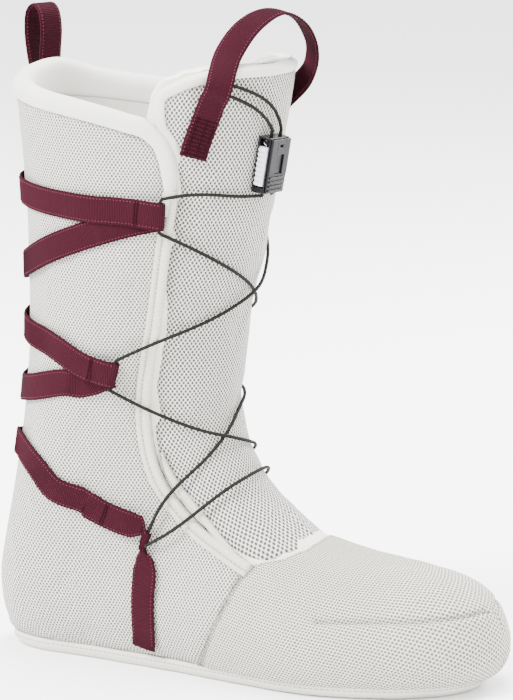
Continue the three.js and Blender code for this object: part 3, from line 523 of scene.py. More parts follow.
def flatten(obj, up=(0, 0, 1)):
    """Lays the piece out flat, in metres, with the cloth's v axis along up."""
    only(obj)
    if not obj.data.uv_layers:
        obj.data.uv_layers.new(name="UVMap")
    bpy.ops.object.mode_set(mode="EDIT")
    bpy.ops.mesh.select_all(action="SELECT")
    bpy.ops.uv.unwrap(method="CONFORMAL", margin=0.0)
    bpy.ops.object.mode_set(mode="OBJECT")
    mesh = obj.data
    uv = np.zeros(len(mesh.loops) * 2)
    mesh.uv_layers[0].data.foreach_get("uv", uv)
    uv = uv.reshape(-1, 2)
    corner = np.zeros(len(mesh.loops), int)
    mesh.loops.foreach_get("vertex_index", corner)
    co = coordinates(mesh)[corner]
    lengths, flat_lengths = (np.linalg.norm(np.diff(p, axis=0), axis=1) for p in (co, uv))
    near = lengths < 4 * MM
    uv = uv * np.median(lengths[near] / np.maximum(flat_lengths[near], 1e-9))
    centred = uv - uv.mean(0)
    slope = np.linalg.lstsq(centred, (co - co.mean(0)) @ np.asarray(up, float), rcond=None)[0]
    turn = math.pi / 2 - math.atan2(slope[1], slope[0])
    c, s = math.cos(turn), math.sin(turn)
    centred = centred @ np.array([[c, s], [-s, c]])
    mesh.uv_layers[0].data.foreach_set("uv", centred.astype(np.float32).ravel())
    return np.ptp(centred, axis=0)


def face_outward(obj):
    """Turns an open sheet's faces away from the line through the middle of the boot."""
    mesh = obj.data
    centres, normals = np.zeros(len(mesh.polygons) * 3), np.zeros(len(mesh.polygons) * 3)
    mesh.polygons.foreach_get("center", centres)
    mesh.polygons.foreach_get("normal", normals)
    c = centres.reshape(-1, 3)
    shaft = smooth((c[:, 2] - 0.08) / 0.06)
    axis = np.stack([np.clip(c[:, 0], -0.03, 0.15) * (1 - shaft) - 0.008 * shaft, 0 * shaft,
                     c[:, 2] * shaft + 0.035 * (1 - shaft)], -1)
    if ((c - axis) * normals.reshape(-1, 3)).sum() < 0:
        mesh.flip_normals()


def thicken(obj, thickness, inward=True):
    face_outward(obj)
    solid = obj.modifiers.new("thickness", "SOLIDIFY")
    solid.thickness = thickness * MM
    solid.offset = -1 if inward else 1
    solid.use_even_offset = False
    return obj


def settle(obj, body, slot, *nodes):
    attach(obj, body)
    if nodes:
        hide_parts(*nodes)
    return obj


print("mesh helpers ready")

# %% [markdown]
# ## Foam behind the cloth
# The foam pushes each panel out between its seams. A cloth simulation blows the open panel from
# inside with its border held. Only a small, capped part of what it moves is kept, because the panel
# is glued to its foam, and none of it where a strap, a lace or a dart presses.

# %% Blow a panel out
def distance_to(points, line):
    best = np.full(points.shape[:-1], 1e9)
    for chunk in np.array_split(line, max(len(line) // 40, 1)):
        d = np.linalg.norm(points[..., None, :] - chunk, axis=-1).min(-1)
        best = np.minimum(best, d)
    return best


FRAMES = 20
PUFF_CAP = 0.75
HELD_WIDTH = 1.6
PRESS_WIDTH = 8


def puff(obj, border, pressed):
    """Blows an open panel out over its foam, its border held, and keeps a capped part of it."""
    face_outward(obj)
    mesh = obj.data
    before = coordinates(mesh)
    normals = np.zeros(len(mesh.vertices) * 3)
    mesh.vertices.foreach_get("normal", normals)
    normals = normals.reshape(-1, 3)
    held = obj.vertex_groups.new(name="held")
    held.add([int(k) for k in np.where(distance_to(before / MM, border) < HELD_WIDTH)[0]], 1.0, "REPLACE")
    cloth = obj.modifiers.new("cloth", "CLOTH")
    cloth.settings.quality = 4
    cloth.settings.mass = 0.2
    cloth.settings.tension_stiffness = cloth.settings.compression_stiffness = 12
    cloth.settings.shear_stiffness = 4
    cloth.settings.bending_stiffness = 1.5
    cloth.settings.vertex_group_mass = "held"
    cloth.settings.shrink_min = -0.025
    cloth.settings.use_pressure = True
    cloth.settings.uniform_pressure_force = 4
    cloth.settings.effector_weights.gravity = 0
    cloth.point_cache.frame_start, cloth.point_cache.frame_end = 1, FRAMES
    for frame_number in range(1, FRAMES + 1):
        bpy.context.scene.frame_set(frame_number)
    shown = obj.evaluated_get(bpy.context.evaluated_depsgraph_get())
    after = coordinates(shown.data)
    obj.modifiers.remove(cloth)
    obj.vertex_groups.remove(held)
    bpy.context.scene.frame_set(1)
    out = ((after - before) * normals).sum(-1) / MM
    kept_out = PUFF_CAP * np.tanh(out / (2 * PUFF_CAP))
    free = 1 - np.exp(-(distance_to(before / MM, pressed) / PRESS_WIDTH) ** 2)
    moved = before + normals * (kept_out * free)[:, None] * MM
    mesh.vertices.foreach_set("co", moved.ravel())
    mesh.update()
    print(obj.name, "puffed by", round(float(kept_out.min()), 2), "to", round(float(kept_out.max()), 2), "mm")


print("panels are puffed by up to", PUFF_CAP, "mm")

# %% [markdown]
# ## How the cloth lies
# The seams pull the cloth in, and it ripples a little. Straps and the lace press into it. These small
# heights are added to the last's surface before the panel is blown out.

# %% Heights of the outer cloth
VALLEY_WIDTH = 3.2
VALLEY_DEPTH = 1.3
SWELL = 0.35
SWELL_REACH = 20


def ripple(p, seed=0.0):
    x, y, z = p[..., 0], p[..., 1], p[..., 2]
    return (0.22 * np.sin(x / 17 + 1.3 * np.sin(z / 23 + seed)) * np.sin(z / 19 + y / 15 + seed)
            + 0.12 * np.sin(x / 7.5 + z / 9.1 + seed) * np.sin(y / 8.3 - z / 11.7))


def cloth_height(points, border, seams=(), presses=()):
    """Height of the cloth over the last; seams and presses are (line, depth, width)."""
    d = distance_to(points, border)
    h = SWELL * smooth(d / SWELL_REACH) - VALLEY_DEPTH * np.exp(-(d / VALLEY_WIDTH) ** 2) + ripple(points)
    for line, depth, width in [*seams, *presses]:
        h = h - depth * np.exp(-(distance_to(points, line) / width) ** 2)
    return h


print("swell", SWELL, "mm, valley", VALLEY_DEPTH, "mm")

# %% [markdown]
# ## Straps and lace, as lines
# The straps and the lace are laid out before the cloth, because the cloth is pressed in under them.
# Each strap leaves the back seam, turns round the lace and comes back under itself.

# %% Routes of the straps
WEBBING_WIDTH = 14
WEBBING_THICKNESS = 1.2
WEBBING_LOW = 2.0
LACE_DIAMETER = 1.8
LACE_ROOM = 0.45
LAYER_ROOM = 0.15
STRAP_PARTS = 13
UPPER_STRAP = {
    "rise": [[13.95, 180], [13.86, 139], [13.6, 101], [13.33, 77], [13.09, 63]],
    "back": [[13.06, 63], [13.12, 77], [13.13, 92], [13.1, 114], [13.02, 141], [12.98, 180]],
    "joined": 4, "fold_width": 14,
}
MIDDLE_STRAP = {
    "rise": [[12.45, 180], [12.25, 142], [11.8, 113], [11.17, 95], [10.45, 80]],
    "back": [[10.4, 80], [10.75, 93], [11.11, 105], [11.5, 135], [11.75, 180]],
    "joined": 4, "fold_width": 14,
}
LOWER_STRAP = {
    "rise": [[11.0, 180], [10.8, 141], [9.85, 113.5], [8.49, 94.1], [7.36, 85.7], [6.4, 77.5], [6.0, 73]],
    "back": [[5.7, 81], [5.54, 87], [5.36, 98], [5.22, 112], [5.18, 121]],
    "joined": 1, "fold_width": 6, "shown_width": 10,
}


STRAPS = {"upper": UPPER_STRAP, "middle": MIDDLE_STRAP, "lower": LOWER_STRAP}
SIDES = {"lateral": 1, "medial": -1}


def strap_line(strap, side):
    """Both legs of a strap, and how far its fold stands from the middle of the lace."""
    first = places(strap["rise"], step=1.0, side=side)
    second = places(strap["back"], step=1.0, side=side)
    part = np.linspace(0, 1, len(first)) * STRAP_PARTS
    lift = smooth((part - STRAP_PARTS + strap["joined"] + 2) / 2)
    peak = smooth((part - STRAP_PARTS + 2) / 2)
    turn = LACE_DIAMETER / 2 + LACE_ROOM + WEBBING_THICKNESS / 2
    high = WEBBING_LOW + WEBBING_THICKNESS + LAYER_ROOM
    first[:, 2] = WEBBING_LOW + (high - WEBBING_LOW) * lift + (2 * turn + WEBBING_LOW - high) * peak
    second[:, 2] = WEBBING_LOW
    return first, second, turn


strap_lines = {}
for strap_name, strap in STRAPS.items():
    for side_name, side in SIDES.items():
        strap_lines[strap_name, side_name] = strap_line(strap, side)
print("strap lengths", {k: len(v[0]) + len(v[1]) for k, v in strap_lines.items()}, "mm")

# %% [markdown]
# ## Route of the lace
# One lace zigzags down the tongue: out of the lock, through the six strap folds, and back up into
# the lock. Its two ends run up out of the lock to under the pull strap. Places on the boot give its
# route, and it is then drawn taut between the lock and the folds, where it is held.

# %% Corners of the lace
CHANNELS = (-3, 5)
CHANNEL_DEPTH = 3.8
CHANNEL_LEVELS = (25, 16.5, 8, -4, -15.7)
LACE_PAST_FOLD = 1.2
LACE_STEP = 1.1
LACE_TO_UPPER = [[12.7, 15, 3.2], [13.02, 27, 2.2], [13.3, 44, 2.2], [13.55, 56, 3.4]]
LACE_UPPER_TO_MIDDLE = [
    [12.45, 54, 2.9], [11.7, 39, 2.2], [10.6, 19, 2.2], [9.6, -1, 2.2],
    [9.25, -24, 2.2], [9.65, -42.5, 2.2], [10.5, -66, 3.4],
]
LACE_MIDDLE_TO_LOWER = [
    [9.2, -70, 3.2], [8.2, -57, 2.2], [7.2, -40, 2.2], [6.4, -15, 2.2],
    [5.8, 8, 2.2], [5.42, 22, 2.2], [5.6, 46, 2.2], [6.05, 62, 3.4],
]
LACE_LOWER_ACROSS = [
    [5.6, 74.5, 4.9], [5.25, 66, 4.6], [5.05, 53, 3.2], [4.68, 33, 3.2], [4.5, 14, 3.4], [4.5, -6, 3.4],
    [4.68, -33, 3.2], [5.05, -53, 3.2], [5.25, -66, 4.6], [5.6, -74.5, 4.9],
]
LACE_LOWER_TO_MIDDLE = [
    [6.05, -62, 3.4], [5.45, -46, 2.2], [5.05, -22, 2.2], [5.05, 2, 2.2],
    [5.42, 22, 4.6], [6.1, 35, 2.2], [7.3, 50.4, 2.2], [8.7, 64, 3.2],
]
LACE_MIDDLE_TO_UPPER = [
    [10.5, 66, 3.4], [9.75, 45, 2.2], [9.3, 24, 2.2], [9.6, -1, 4.6],
    [10.6, -19, 2.2], [11.7, -39, 2.2], [12.45, -54, 2.9],
]
LACE_FROM_UPPER = [[13.55, -56, 3.4], [13.3, -44, 2.2], [13.0, -20, 2.2], [12.75, -4, 3.2]]
LACE_END_LATERAL = [[15.55, 40, 2.2], [15.5, 33, 2.2], [15.2, 20, 3.2]]
LACE_END_MEDIAL = [[15.78, 39, 2.2], [15.72, 31, 2.2], [15.4, 13, 3.2]]

LOCK_PLACE = (13.72, math.radians(8))
LOCK_ORIGIN = over(np.array(LOCK_PLACE[0]), np.array(LOCK_PLACE[1]), 1.0)
LOCK_OUT = normal(*LOCK_PLACE)
LOCK_UP = slopes(*LOCK_PLACE)[0]
LOCK_UP = unit(LOCK_UP - LOCK_OUT * (LOCK_UP @ LOCK_OUT))
LOCK_ACROSS = np.cross(LOCK_OUT, LOCK_UP)
if LOCK_ACROSS[1] < 0:
    LOCK_ACROSS = -LOCK_ACROSS


def lock_point(u, v, w):
    return LOCK_ORIGIN + LOCK_ACROSS * u + LOCK_OUT * v + LOCK_UP * w


def fold_frame(name, side_name):
    first, second, turn = strap_lines[name, side_name]
    t, angle = (first[-1, :2] + second[0, :2]) / 2
    out = normal(t, angle)
    back = len(first) - 3 * len(first) // STRAP_PARTS
    forward = surface(t, angle) - surface(first[back, 0], first[back, 1])
    forward = unit(forward - out * (forward @ out))
    return over(t, angle, WEBBING_LOW + turn), out, forward, np.cross(out, forward)


def fold_line(name, side_name):
    centre, out, forward, across = fold_frame(name, side_name)
    reach = STRAPS[name]["fold_width"] / 2 + LACE_PAST_FOLD
    upward = 1 if across[2] > 0 else -1
    return [centre + across * k * upward * reach for k in (1, 0, -1)]


def on_boot(rows):
    r = np.array(rows, float)
    return list(over(r[:, 0], np.radians(r[:, 1]), r[:, 2]))


def channel(u):
    return [lock_point(u, CHANNEL_DEPTH, w) for w in CHANNEL_LEVELS]


def taut(line, pins, turns=4, rounds=45):
    """Pulls a laid line straight between its pins, without letting it sink into the boot."""
    t, angle = np.meshgrid(np.linspace(2, 16.8, 150), np.linspace(-math.pi, math.pi, 200), indexing="ij")
    ground = surface(t, angle).reshape(-1, 3)
    upward = normal(t, angle).reshape(-1, 3)
    line = line.copy()
    free = np.array([np.linalg.norm(pins - p, axis=1).min() > 1.3 for p in line])
    free[[0, -1]] = False
    for _ in range(turns):
        out = upward[[np.argmin(((ground - p) ** 2).sum(-1)) for p in line]]
        for _ in range(rounds):
            step = np.zeros(line.shape)
            step[1:-1] = (line[:-2] + line[2:]) / 2 - line[1:-1]
            depth = (step * out).sum(-1, keepdims=True)
            step -= np.minimum(depth, 0) * out
            line[free] += step[free]
    return line


lace_pins = np.array(
    [p for u in CHANNELS for p in channel(u)[1:]]
    + [p for name in STRAPS for side_name in SIDES for p in fold_line(name, side_name)])
lace_corners = np.array(
    on_boot(LACE_END_LATERAL) + channel(CHANNELS[0]) + on_boot(LACE_TO_UPPER)
    + fold_line("upper", "lateral") + on_boot(LACE_UPPER_TO_MIDDLE)
    + fold_line("middle", "medial") + on_boot(LACE_MIDDLE_TO_LOWER)
    + fold_line("lower", "lateral") + on_boot(LACE_LOWER_ACROSS)
    + fold_line("lower", "medial")[::-1] + on_boot(LACE_LOWER_TO_MIDDLE)
    + fold_line("middle", "lateral")[::-1] + on_boot(LACE_MIDDLE_TO_UPPER)
    + fold_line("upper", "medial")[::-1] + on_boot(LACE_FROM_UPPER)
    + channel(CHANNELS[1])[::-1] + on_boot(LACE_END_MEDIAL)[::-1])
lace_line = through(lace_corners)
lace_length = np.linalg.norm(np.diff(lace_line, axis=0), axis=1).sum()
lace_line = taut(spaced(lace_line, int(lace_length / LACE_STEP)), lace_pins)
lace_length = np.linalg.norm(np.diff(lace_line, axis=0), axis=1).sum()
print("lace", round(float(lace_length)), "mm")

# %% [markdown]
# ## The quarters
# A quarter is the side of the shaft: one four-sided piece of spacer mesh between the back seam, the
# bottom edge, the seam to the vamp with the front tape, and the collar. Its grid fills in evenly
# from those four borders.

# %% Borders of a quarter
SKIN = 2.2
RAND_TOP = 7.2
HEEL_T = 7.93
SEAM_NORMAL = np.array([0.898, 0, -0.44])
SEAM_OFFSET = 39.2
THROAT_ANGLE = 55.4


def solve(low, high, value):
    """Where value, which rises from low to high, is zero; all are arrays."""
    low, high = np.array(low, float), np.array(high, float)
    for _ in range(40):
        middle = (low + high) / 2
        under = value(middle) < 0
        low, high = np.where(under, middle, low), np.where(under, high, middle)
    return (low + high) / 2


def bottom_angle(t, z):
    """The angle at which the last comes down to height z."""
    t = np.asarray(t, float)
    low, high = np.full(t.shape, math.pi / 2), np.full(t.shape, math.pi)
    return solve(low, high, lambda a: z - surface(t, a)[..., 2])


def seam_t(angle):
    """Where the flat plane of the vamp seam cuts the last."""
    angle = np.asarray(angle, float)
    return solve(np.full(angle.shape, 2.2), np.full(angle.shape, 6.5),
                 lambda t: SEAM_OFFSET - surface(t, angle) @ SEAM_NORMAL)


def even(line, count):
    return spaced(line, count, surface(line[:, 0], line[:, 1]))


corner_angle = solve(np.array(1.7), np.array(2.6), lambda a: RAND_TOP - surface(seam_t(a), a)[..., 2])
corner_t = float(seam_t(corner_angle))
foot_t = np.linspace(HEEL_T, corner_t, 160)
foot_edge = np.stack([foot_t, bottom_angle(foot_t, RAND_TOP)], -1)
foot_edge[0, 1] = math.pi
seam_angles = np.linspace(float(corner_angle), math.radians(THROAT_ANGLE), 60)
vamp_seam = np.stack([seam_t(seam_angles), seam_angles], -1)
front_edge = np.vstack([vamp_seam, tape_line[2:, :2]])
collar_line = places(COLLAR, step=1)[:, :2]
back_edge = np.stack([np.linspace(HEEL_T, COLLAR[-1][0], 120), np.full(120, math.pi)], -1)


def filled(low, high, left, right, columns, rows):
    """A grid between four borders; low and high run from left to right."""
    low, high = even(low, columns), even(high, columns)
    left, right = even(left, rows), even(right, rows)
    u = np.linspace(0, 1, columns)[None, :, None]
    v = np.linspace(0, 1, rows)[:, None, None]
    sides = (1 - u) * left[:, None] + u * right[:, None]
    ends = (1 - v) * low[None] + v * high[None]
    corners = ((1 - u) * (1 - v) * low[0] + u * (1 - v) * low[-1] + (1 - u) * v * high[0] + u * v * high[-1])
    return sides + ends - corners


def quarter_grid(columns, rows):
    return filled(foot_edge, collar_line[::-1], back_edge, front_edge, columns, rows)


quarter_places = quarter_grid(110, 190)
q = surface(quarter_places[..., 0], quarter_places[..., 1])
print("quarter from z", round(q[..., 2].min(), 1), "to", round(q[..., 2].max(), 1), "mm")

# %% Make the quarters
MIRROR = np.array([1, -1])
BACK_VALLEY = (0.8, 2.2)
STRAP_PRESS = 0.5
STRAP_PRESS_WIDTH = 7.5


def strap_presses(side_name):
    found = []
    for (name, its_side), (first, second, _) in strap_lines.items():
        if its_side == side_name:
            for line in (first, second):
                found.append((surface(line[::2, 0], line[::2, 1]), STRAP_PRESS, STRAP_PRESS_WIDTH))
    return found


quarters = {}
for side_name, side in SIDES.items():
    grid = quarter_places * np.array([1, side])
    points = surface(grid[..., 0], grid[..., 1])
    border = np.vstack([points[0], points[-1], points[:, -1]])
    back_seam = points[:, 0]
    height = cloth_height(points, border, seams=[(back_seam, *BACK_VALLEY)], presses=strap_presses(side_name))
    placed = points + normal(grid[..., 0], grid[..., 1]) * height[..., None]
    faces = grid_faces(*points.shape[:2])
    faces = faces if side < 0 else faces[:, ::-1]
    quarter = mesh_piece(f"quarter_{side_name}_cloth", placed.reshape(-1, 3), faces, quarter_cloth)
    size = flatten(quarter)
    puff(quarter, np.vstack([border, back_seam]), np.vstack([p for p, _, _ in strap_presses(side_name)]))
    thicken(quarter, SKIN)
    quarters[side_name] = quarter
    print(quarter.name, "cut from", np.round(size * 1000), "mm")

# %% [markdown]
# ## The vamp
# The vamp covers the foot ahead of the seam. Its grid runs from the tip of the toe back to the
# quarter seam and the throat, and what would lie under the foot is left off. A dart seam runs round
# the toe, with a short one down the middle of its front.

# %% Make the vamp
THROAT = np.array([[0, 3.0], [6, 3.0], [20, 3.06], [36, 3.3], [50, 3.7], [THROAT_ANGLE, 3.9]])
TOE_SEAM_Z = 42
TOE_VALLEY = (2.0, 1.5)
FRONT_VALLEY = (0.9, 1.5)
DART_X = 117


def vamp_end(angle):
    a = np.abs(np.degrees(angle))
    throat = np.interp(a, THROAT[:, 0], THROAT[:, 1])
    return np.where(a < THROAT_ANGLE, throat, seam_t(np.maximum(np.abs(angle), math.radians(THROAT_ANGLE))))


def toe_seam_line():
    """Places of the toe seam, from the dart on the outer side round to the inner side."""
    found = []
    for side in (1, -1):
        ts = np.linspace(2.66, 0.22, 90)
        low, high = np.full(90, 0.25), np.full(90, 2.0)
        angle = solve(low, high, lambda a: TOE_SEAM_Z + 1.2 * np.cos(ts) - surface(ts, a)[..., 2])
        line = surface(ts, angle * side)
        line = line[(np.abs(line[:, 2] - TOE_SEAM_Z) < 3) & (line[:, 0] > DART_X)]
        found.append(line if side > 0 else line[::-1])
    return np.vstack(found)


vamp_angles = np.linspace(-math.pi, math.pi, 241)
vamp_shares = np.concatenate([[0.004], np.linspace(0.02, 1, 150)])
vamp_t = vamp_end(vamp_angles)[None, :] * vamp_shares[:, None]
vamp_a = np.broadcast_to(vamp_angles, vamp_t.shape)
toe_seam = toe_seam_line()
centre_t = np.linspace(0.004, 1.0, 60)
upper_part = surface(centre_t, np.zeros(60))
lower_part = surface(centre_t, np.full(60, math.pi))
front_seam = np.vstack([upper_part[::-1], lower_part])
front_seam = front_seam[(front_seam[:, 2] < TOE_SEAM_Z) & (front_seam[:, 2] > RAND_TOP)]

points = surface(vamp_t, vamp_a)
border = points[-1][points[-1][:, 2] > RAND_TOP - 2]
height = cloth_height(points, border, seams=[(toe_seam, *TOE_VALLEY), (front_seam, *FRONT_VALLEY)])
placed = points + normal(vamp_t, vamp_a) * height[..., None]
keep = points[..., 2] > RAND_TOP
faces = grid_faces(*points.shape[:2])
tip = len(placed.reshape(-1, 3))
placed = np.vstack([placed.reshape(-1, 3), surface(np.array(0.0), np.array(0.0))[None]])
faces = np.array([f for f in faces if keep.reshape(-1)[f].any()])
low_points = placed[:, 2] < RAND_TOP
placed[low_points, 2] = RAND_TOP
columns = points.shape[1]
caps = [[tip, k + 1, k] for k in range(columns - 1)]
vamp = mesh_piece("vamp_cloth", placed, [*faces[:, ::-1].tolist(), *[c[::-1] for c in caps]], vamp_cloth)
only(vamp)
bpy.ops.object.mode_set(mode="EDIT")
bpy.ops.mesh.select_all(action="SELECT")
bpy.ops.mesh.remove_doubles(threshold=0.00002)
bpy.ops.mesh.delete_loose()
bpy.ops.mesh.normals_make_consistent(inside=False)
bpy.ops.object.mode_set(mode="OBJECT")
size = flatten(vamp, up=(0, 1, 0))
print("vamp cut from", np.round(size * 1000), "mm;", len(vamp.data.vertices), "corners")
vamp_low = coordinates(vamp.data) / MM
vamp_low = vamp_low[vamp_low[:, 2] < RAND_TOP + 1]
puff(vamp, np.vstack([border, vamp_low]), np.vstack([toe_seam, front_seam]))
thicken(vamp, SKIN)

# %% [markdown]
# ## The tongue
# The tongue fills the front between the two quarters. Its outer face is coarser spacer mesh that
# sits a little lower at its sides, where it slips under the quarters' edges.

# %% Make the tongue's faces
TUCK_DEPTH, TUCK_WIDTH = 2.6, 11
LACE_PRESS, LACE_PRESS_WIDTH = 0.5, 3.4
FOLD_SWELL, FOLD_WIDTH = 0.9, 9
WALL = 9.7
TONGUE_INSET = 3.4
TONGUE_RADIUS = 52


def inset_angle(t):
    """How far, as an angle, the tongue's edge stays inside the front tape."""
    return TONGUE_INSET / TONGUE_RADIUS * smooth(t - 3.4)


tongue_rows = places(TONGUE_EDGE, count=190)[:, :2]
tongue_share = np.linspace(-1, 1, 120)


def tongue_points(rows, share):
    t = np.broadcast_to(rows[:, :1], (len(rows), len(share)))
    return t, np.maximum(rows[:, 1:2] - inset_angle(rows[:, :1]), 0.03) * share[None]


t, angle = tongue_points(tongue_rows, tongue_share)
points = surface(t, angle)
rim = np.vstack([points[:, 0], points[:, -1], points[-1], points[0]])
side_rows = tongue_rows[:, 0] < 14.6
side_edge = np.vstack([points[side_rows, 0], points[side_rows, -1]])
lace_press = lace_line[::3]
under = distance_to(points, side_edge)
height = (cloth_height(points, rim) - TUCK_DEPTH * np.exp(-(under / TUCK_WIDTH) ** 1.6)
          - LACE_PRESS * np.exp(-(distance_to(points, lace_press) / LACE_PRESS_WIDTH) ** 2))
instep_fold = through([[60, -30, 112], [64, -10, 119], [65, 8, 119], [60, 26, 112]])
height = height + FOLD_SWELL * np.exp(-(distance_to(points, instep_fold) / FOLD_WIDTH) ** 2)
placed = points + normal(t, angle) * height[..., None]
faces = grid_faces(*points.shape[:2])
tongue = mesh_piece("tongue_cloth", placed.reshape(-1, 3), faces, tongue_cloth)
print("tongue cut from", np.round(flatten(tongue) * 1000), "mm")
puff(tongue, rim, lace_press)
thicken(tongue, SKIN)

coarse_rows = tongue_rows[::3]
t, angle = tongue_points(coarse_rows, tongue_share[::3])
inner = surface(t, angle) - normal(t, angle) * (WALL - 1.2)
tongue_inside = mesh_piece("tongue_lining_cloth", inner.reshape(-1, 3), grid_faces(*t.shape), lining_cloth)
flatten(tongue_inside)
thicken(tongue_inside, 1.3)
print(tongue_inside.name, len(tongue_inside.data.vertices), "corners")

# %% [markdown]
# ## Sweeping a section along a line
# The collar roll, tape, piping and rand are one section carried along a line on the last. Each
# corner of the section is a step across the line and a height over the last's surface.

# %% Swept pieces


def signed_volume(mesh):
    mesh.calc_loop_triangles()
    tri = np.zeros(len(mesh.loop_triangles) * 3, int)
    mesh.loop_triangles.foreach_get("vertices", tri)
    a, b, c = np.moveaxis(coordinates(mesh)[tri.reshape(-1, 3)], 1, 0)
    return float((a * np.cross(b, c)).sum() / 6)


def skin_piece(name, rings, material):
    """A closed body from rings (count, corners, 3), with u along it and v round it, in metres."""
    rings = np.asarray(rings, float)
    count, corners = rings.shape[:2]
    along = np.concatenate([[0], np.cumsum(np.linalg.norm(np.diff(rings.mean(1), axis=0), axis=1))]) * MM
    closed = np.concatenate([rings[count // 2], rings[count // 2][:1]])
    round_it = np.concatenate([[0], np.cumsum(np.linalg.norm(np.diff(closed, axis=0), axis=1))]) * MM
    faces = grid_faces(count, corners, wrap=True)
    i, j = np.meshgrid(np.arange(count - 1), np.arange(corners), indexing="ij")
    i, j = i.ravel(), j.ravel()
    uv = np.stack([
        np.stack([along[i], round_it[j]], -1), np.stack([along[i], round_it[j + 1]], -1),
        np.stack([along[i + 1], round_it[j + 1]], -1), np.stack([along[i + 1], round_it[j]], -1),
    ], 1).reshape(-1, 2)
    caps, cap_uv = [], []
    points = rings.reshape(-1, 3)
    for ring, flip in ((0, True), (count - 1, False)):
        points = np.vstack([points, rings[ring].mean(0)])
        for k in range(corners):
            a, b = ring * corners + k, ring * corners + (k + 1) % corners
            caps.append([len(points) - 1, b, a] if flip else [len(points) - 1, a, b])
            cap_uv += [[along[ring], 0]] * 3
    obj = mesh_piece(name, points, [*faces.tolist(), *caps], material, np.vstack([uv, cap_uv]))
    if signed_volume(obj.data) < 0:
        obj.data.flip_normals()
    return obj


def across_line(line, toward):
    """Directions across a line of places, on the side that toward points to."""
    on = surface(line[:, 0], line[:, 1])
    forward = unit(np.gradient(on, axis=0))
    out = normal(line[:, 0], line[:, 1])
    across = unit(np.cross(out, forward))
    flip = (across * toward).sum(-1, keepdims=True) < 0
    return np.where(flip, -across, across)


def rounded(section, per=3):
    closed = np.vstack([section[-1:], section, section[:2]])
    return through(closed, per)[per:-per - 1]


def swept(name, line, across, section, material, widths=None, lift=None):
    section = np.asarray(section, float)
    widths = np.ones(len(line)) if widths is None else widths
    lift = np.zeros(len(line)) if lift is None else lift
    rings = np.zeros((len(line), len(section), 3))
    for k, (step, height) in enumerate(section):
        top = smooth((step + 3.4) / 6)
        t, angle = walk(line[:, 0], line[:, 1], across, step * widths + lift * top)
        rings[:, k] = over(t, angle, np.full(len(line), height))
    return skin_piece(name, rings, material)


print("sweeping ready")

# %% [markdown]
# ## Collar roll and front tapes
# The cuff's edge is a soft padded roll in smooth knit, turned in over the foam. Down the front of
# each quarter runs a ribbed satin tape: a raised piping beside a flat strip, with a seam between.

# %% Make the collar and the tapes
COLLAR_STEP = 1.2
COLLAR_ROUTE = [[13.0, 59.6], [13.25, 59.5], *COLLAR]
COLLAR_SECTION = rounded([
    [-3.5, 0.2], [-3.2, 0.95], [-1.2, 1.5], [1.2, 1.5], [3.4, 0.7], [4.9, -1.2], [5.5, -3.8],
    [5.0, -6.6], [3.4, -8.8], [0.6, -10.2], [-4, -10.6], [-9, -10.4], [-8.6, -9.3], [-3, -8.4],
    [-3.4, -1.4],
])
TAPE_SECTION = rounded([
    [-3.4, -9.2], [-3.9, -4], [-3.9, 0.3], [-3.3, 1.7], [-2.0, 2.3], [-0.7, 2.1], [0.4, 1.3],
    [1.0, 0.5], [1.5, 0.75], [2.3, 1.0], [3.2, 0.9], [3.8, 0.3], [3.7, -1.4], [1.6, -2.6], [1.2, -9.0],
])
half = places(COLLAR_ROUTE, step=COLLAR_STEP)[:, :2]
other = half[::-1][1:] * MIRROR + np.array([0, 2 * math.pi])
collar_route = np.vstack([half, other])
from_end = np.minimum(np.arange(len(collar_route)), np.arange(len(collar_route))[::-1]) * COLLAR_STEP
t, angle = collar_route.T
toward_back = surface(t, angle + 0.05 * np.sign(math.pi - angle)) - surface(t, angle)
climb = smooth((from_end - 14) / 26)[:, None]
up = across_line(collar_route, np.array([0, 0, 1.0]) * climb - unit(toward_back) * (1 - climb))
peak = 5.5 * np.exp(-((np.degrees(collar_route[:, 1]) - 203) / 20) ** 2)
collar_widths = 0.62 + 0.38 * smooth((from_end - 2) / 26)
collar = swept("collar_knit_roll", collar_route, up, COLLAR_SECTION, collar_cloth, collar_widths, peak)
print("collar", round(len(collar_route) * COLLAR_STEP), "mm round")

tapes, tape_seams = {}, {}
for side_name, side in SIDES.items():
    line = places([[3.78, 55.2], *FRONT_TAPE[1:], [13.5, 59.5]], step=1.0, side=side)[:, :2]
    behind = surface(line[:, 0], line[:, 1] + 0.05 * side) - surface(line[:, 0], line[:, 1])
    across = across_line(line, behind)
    tapes[side_name] = swept(f"front_tape_{side_name}", line, across, TAPE_SECTION, satin)
    t, angle = walk(line[:, 0], line[:, 1], across, 1.05)
    tape_seams[side_name] = over(t, angle, np.full(len(t), 0.75))
    print(tapes[side_name].name, len(line), "mm")

# %% [markdown]
# ## Tongue rim and piping
# The tongue's own edge is bound too: a rounded roll over the top and sides, and lower down a thin
# satin piping that shows beside the front tape.

# %% Make the tongue's rim
RIM_SECTION = rounded([
    [-4.6, 0.1], [-4.3, 0.7], [-2.4, 1.1], [-0.6, 0.8], [0.7, -0.8], [1.2, -3.4], [1.0, -6.2],
    [0, -8.4], [-2, -9.8], [-8, -10.4], [-8, -9.0], [-3, -7.6], [-4.4, -1.6],
])
rim_route = np.vstack([tongue_rows, tongue_rows[::-1] * MIRROR])
rim_route[:, 1] -= np.sign(rim_route[:, 1]) * inset_angle(rim_route[:, 0])
rim_route = spaced(rim_route, 560, surface(rim_route[:, 0], rim_route[:, 1]))
rim_on = surface(rim_route[:, 0], rim_route[:, 1])
tongue_middle = surface(np.clip(rim_route[:, 0], 4.5, 13.5), np.zeros(len(rim_route)))
rim_across = across_line(rim_route, rim_on - tongue_middle)
side_drop = 4.8 - 2.6 * smooth((rim_route[:, 0] - 13.8) / 0.6) - 2.2 * smooth((rim_route[:, 0] - 14.5) / 0.6)
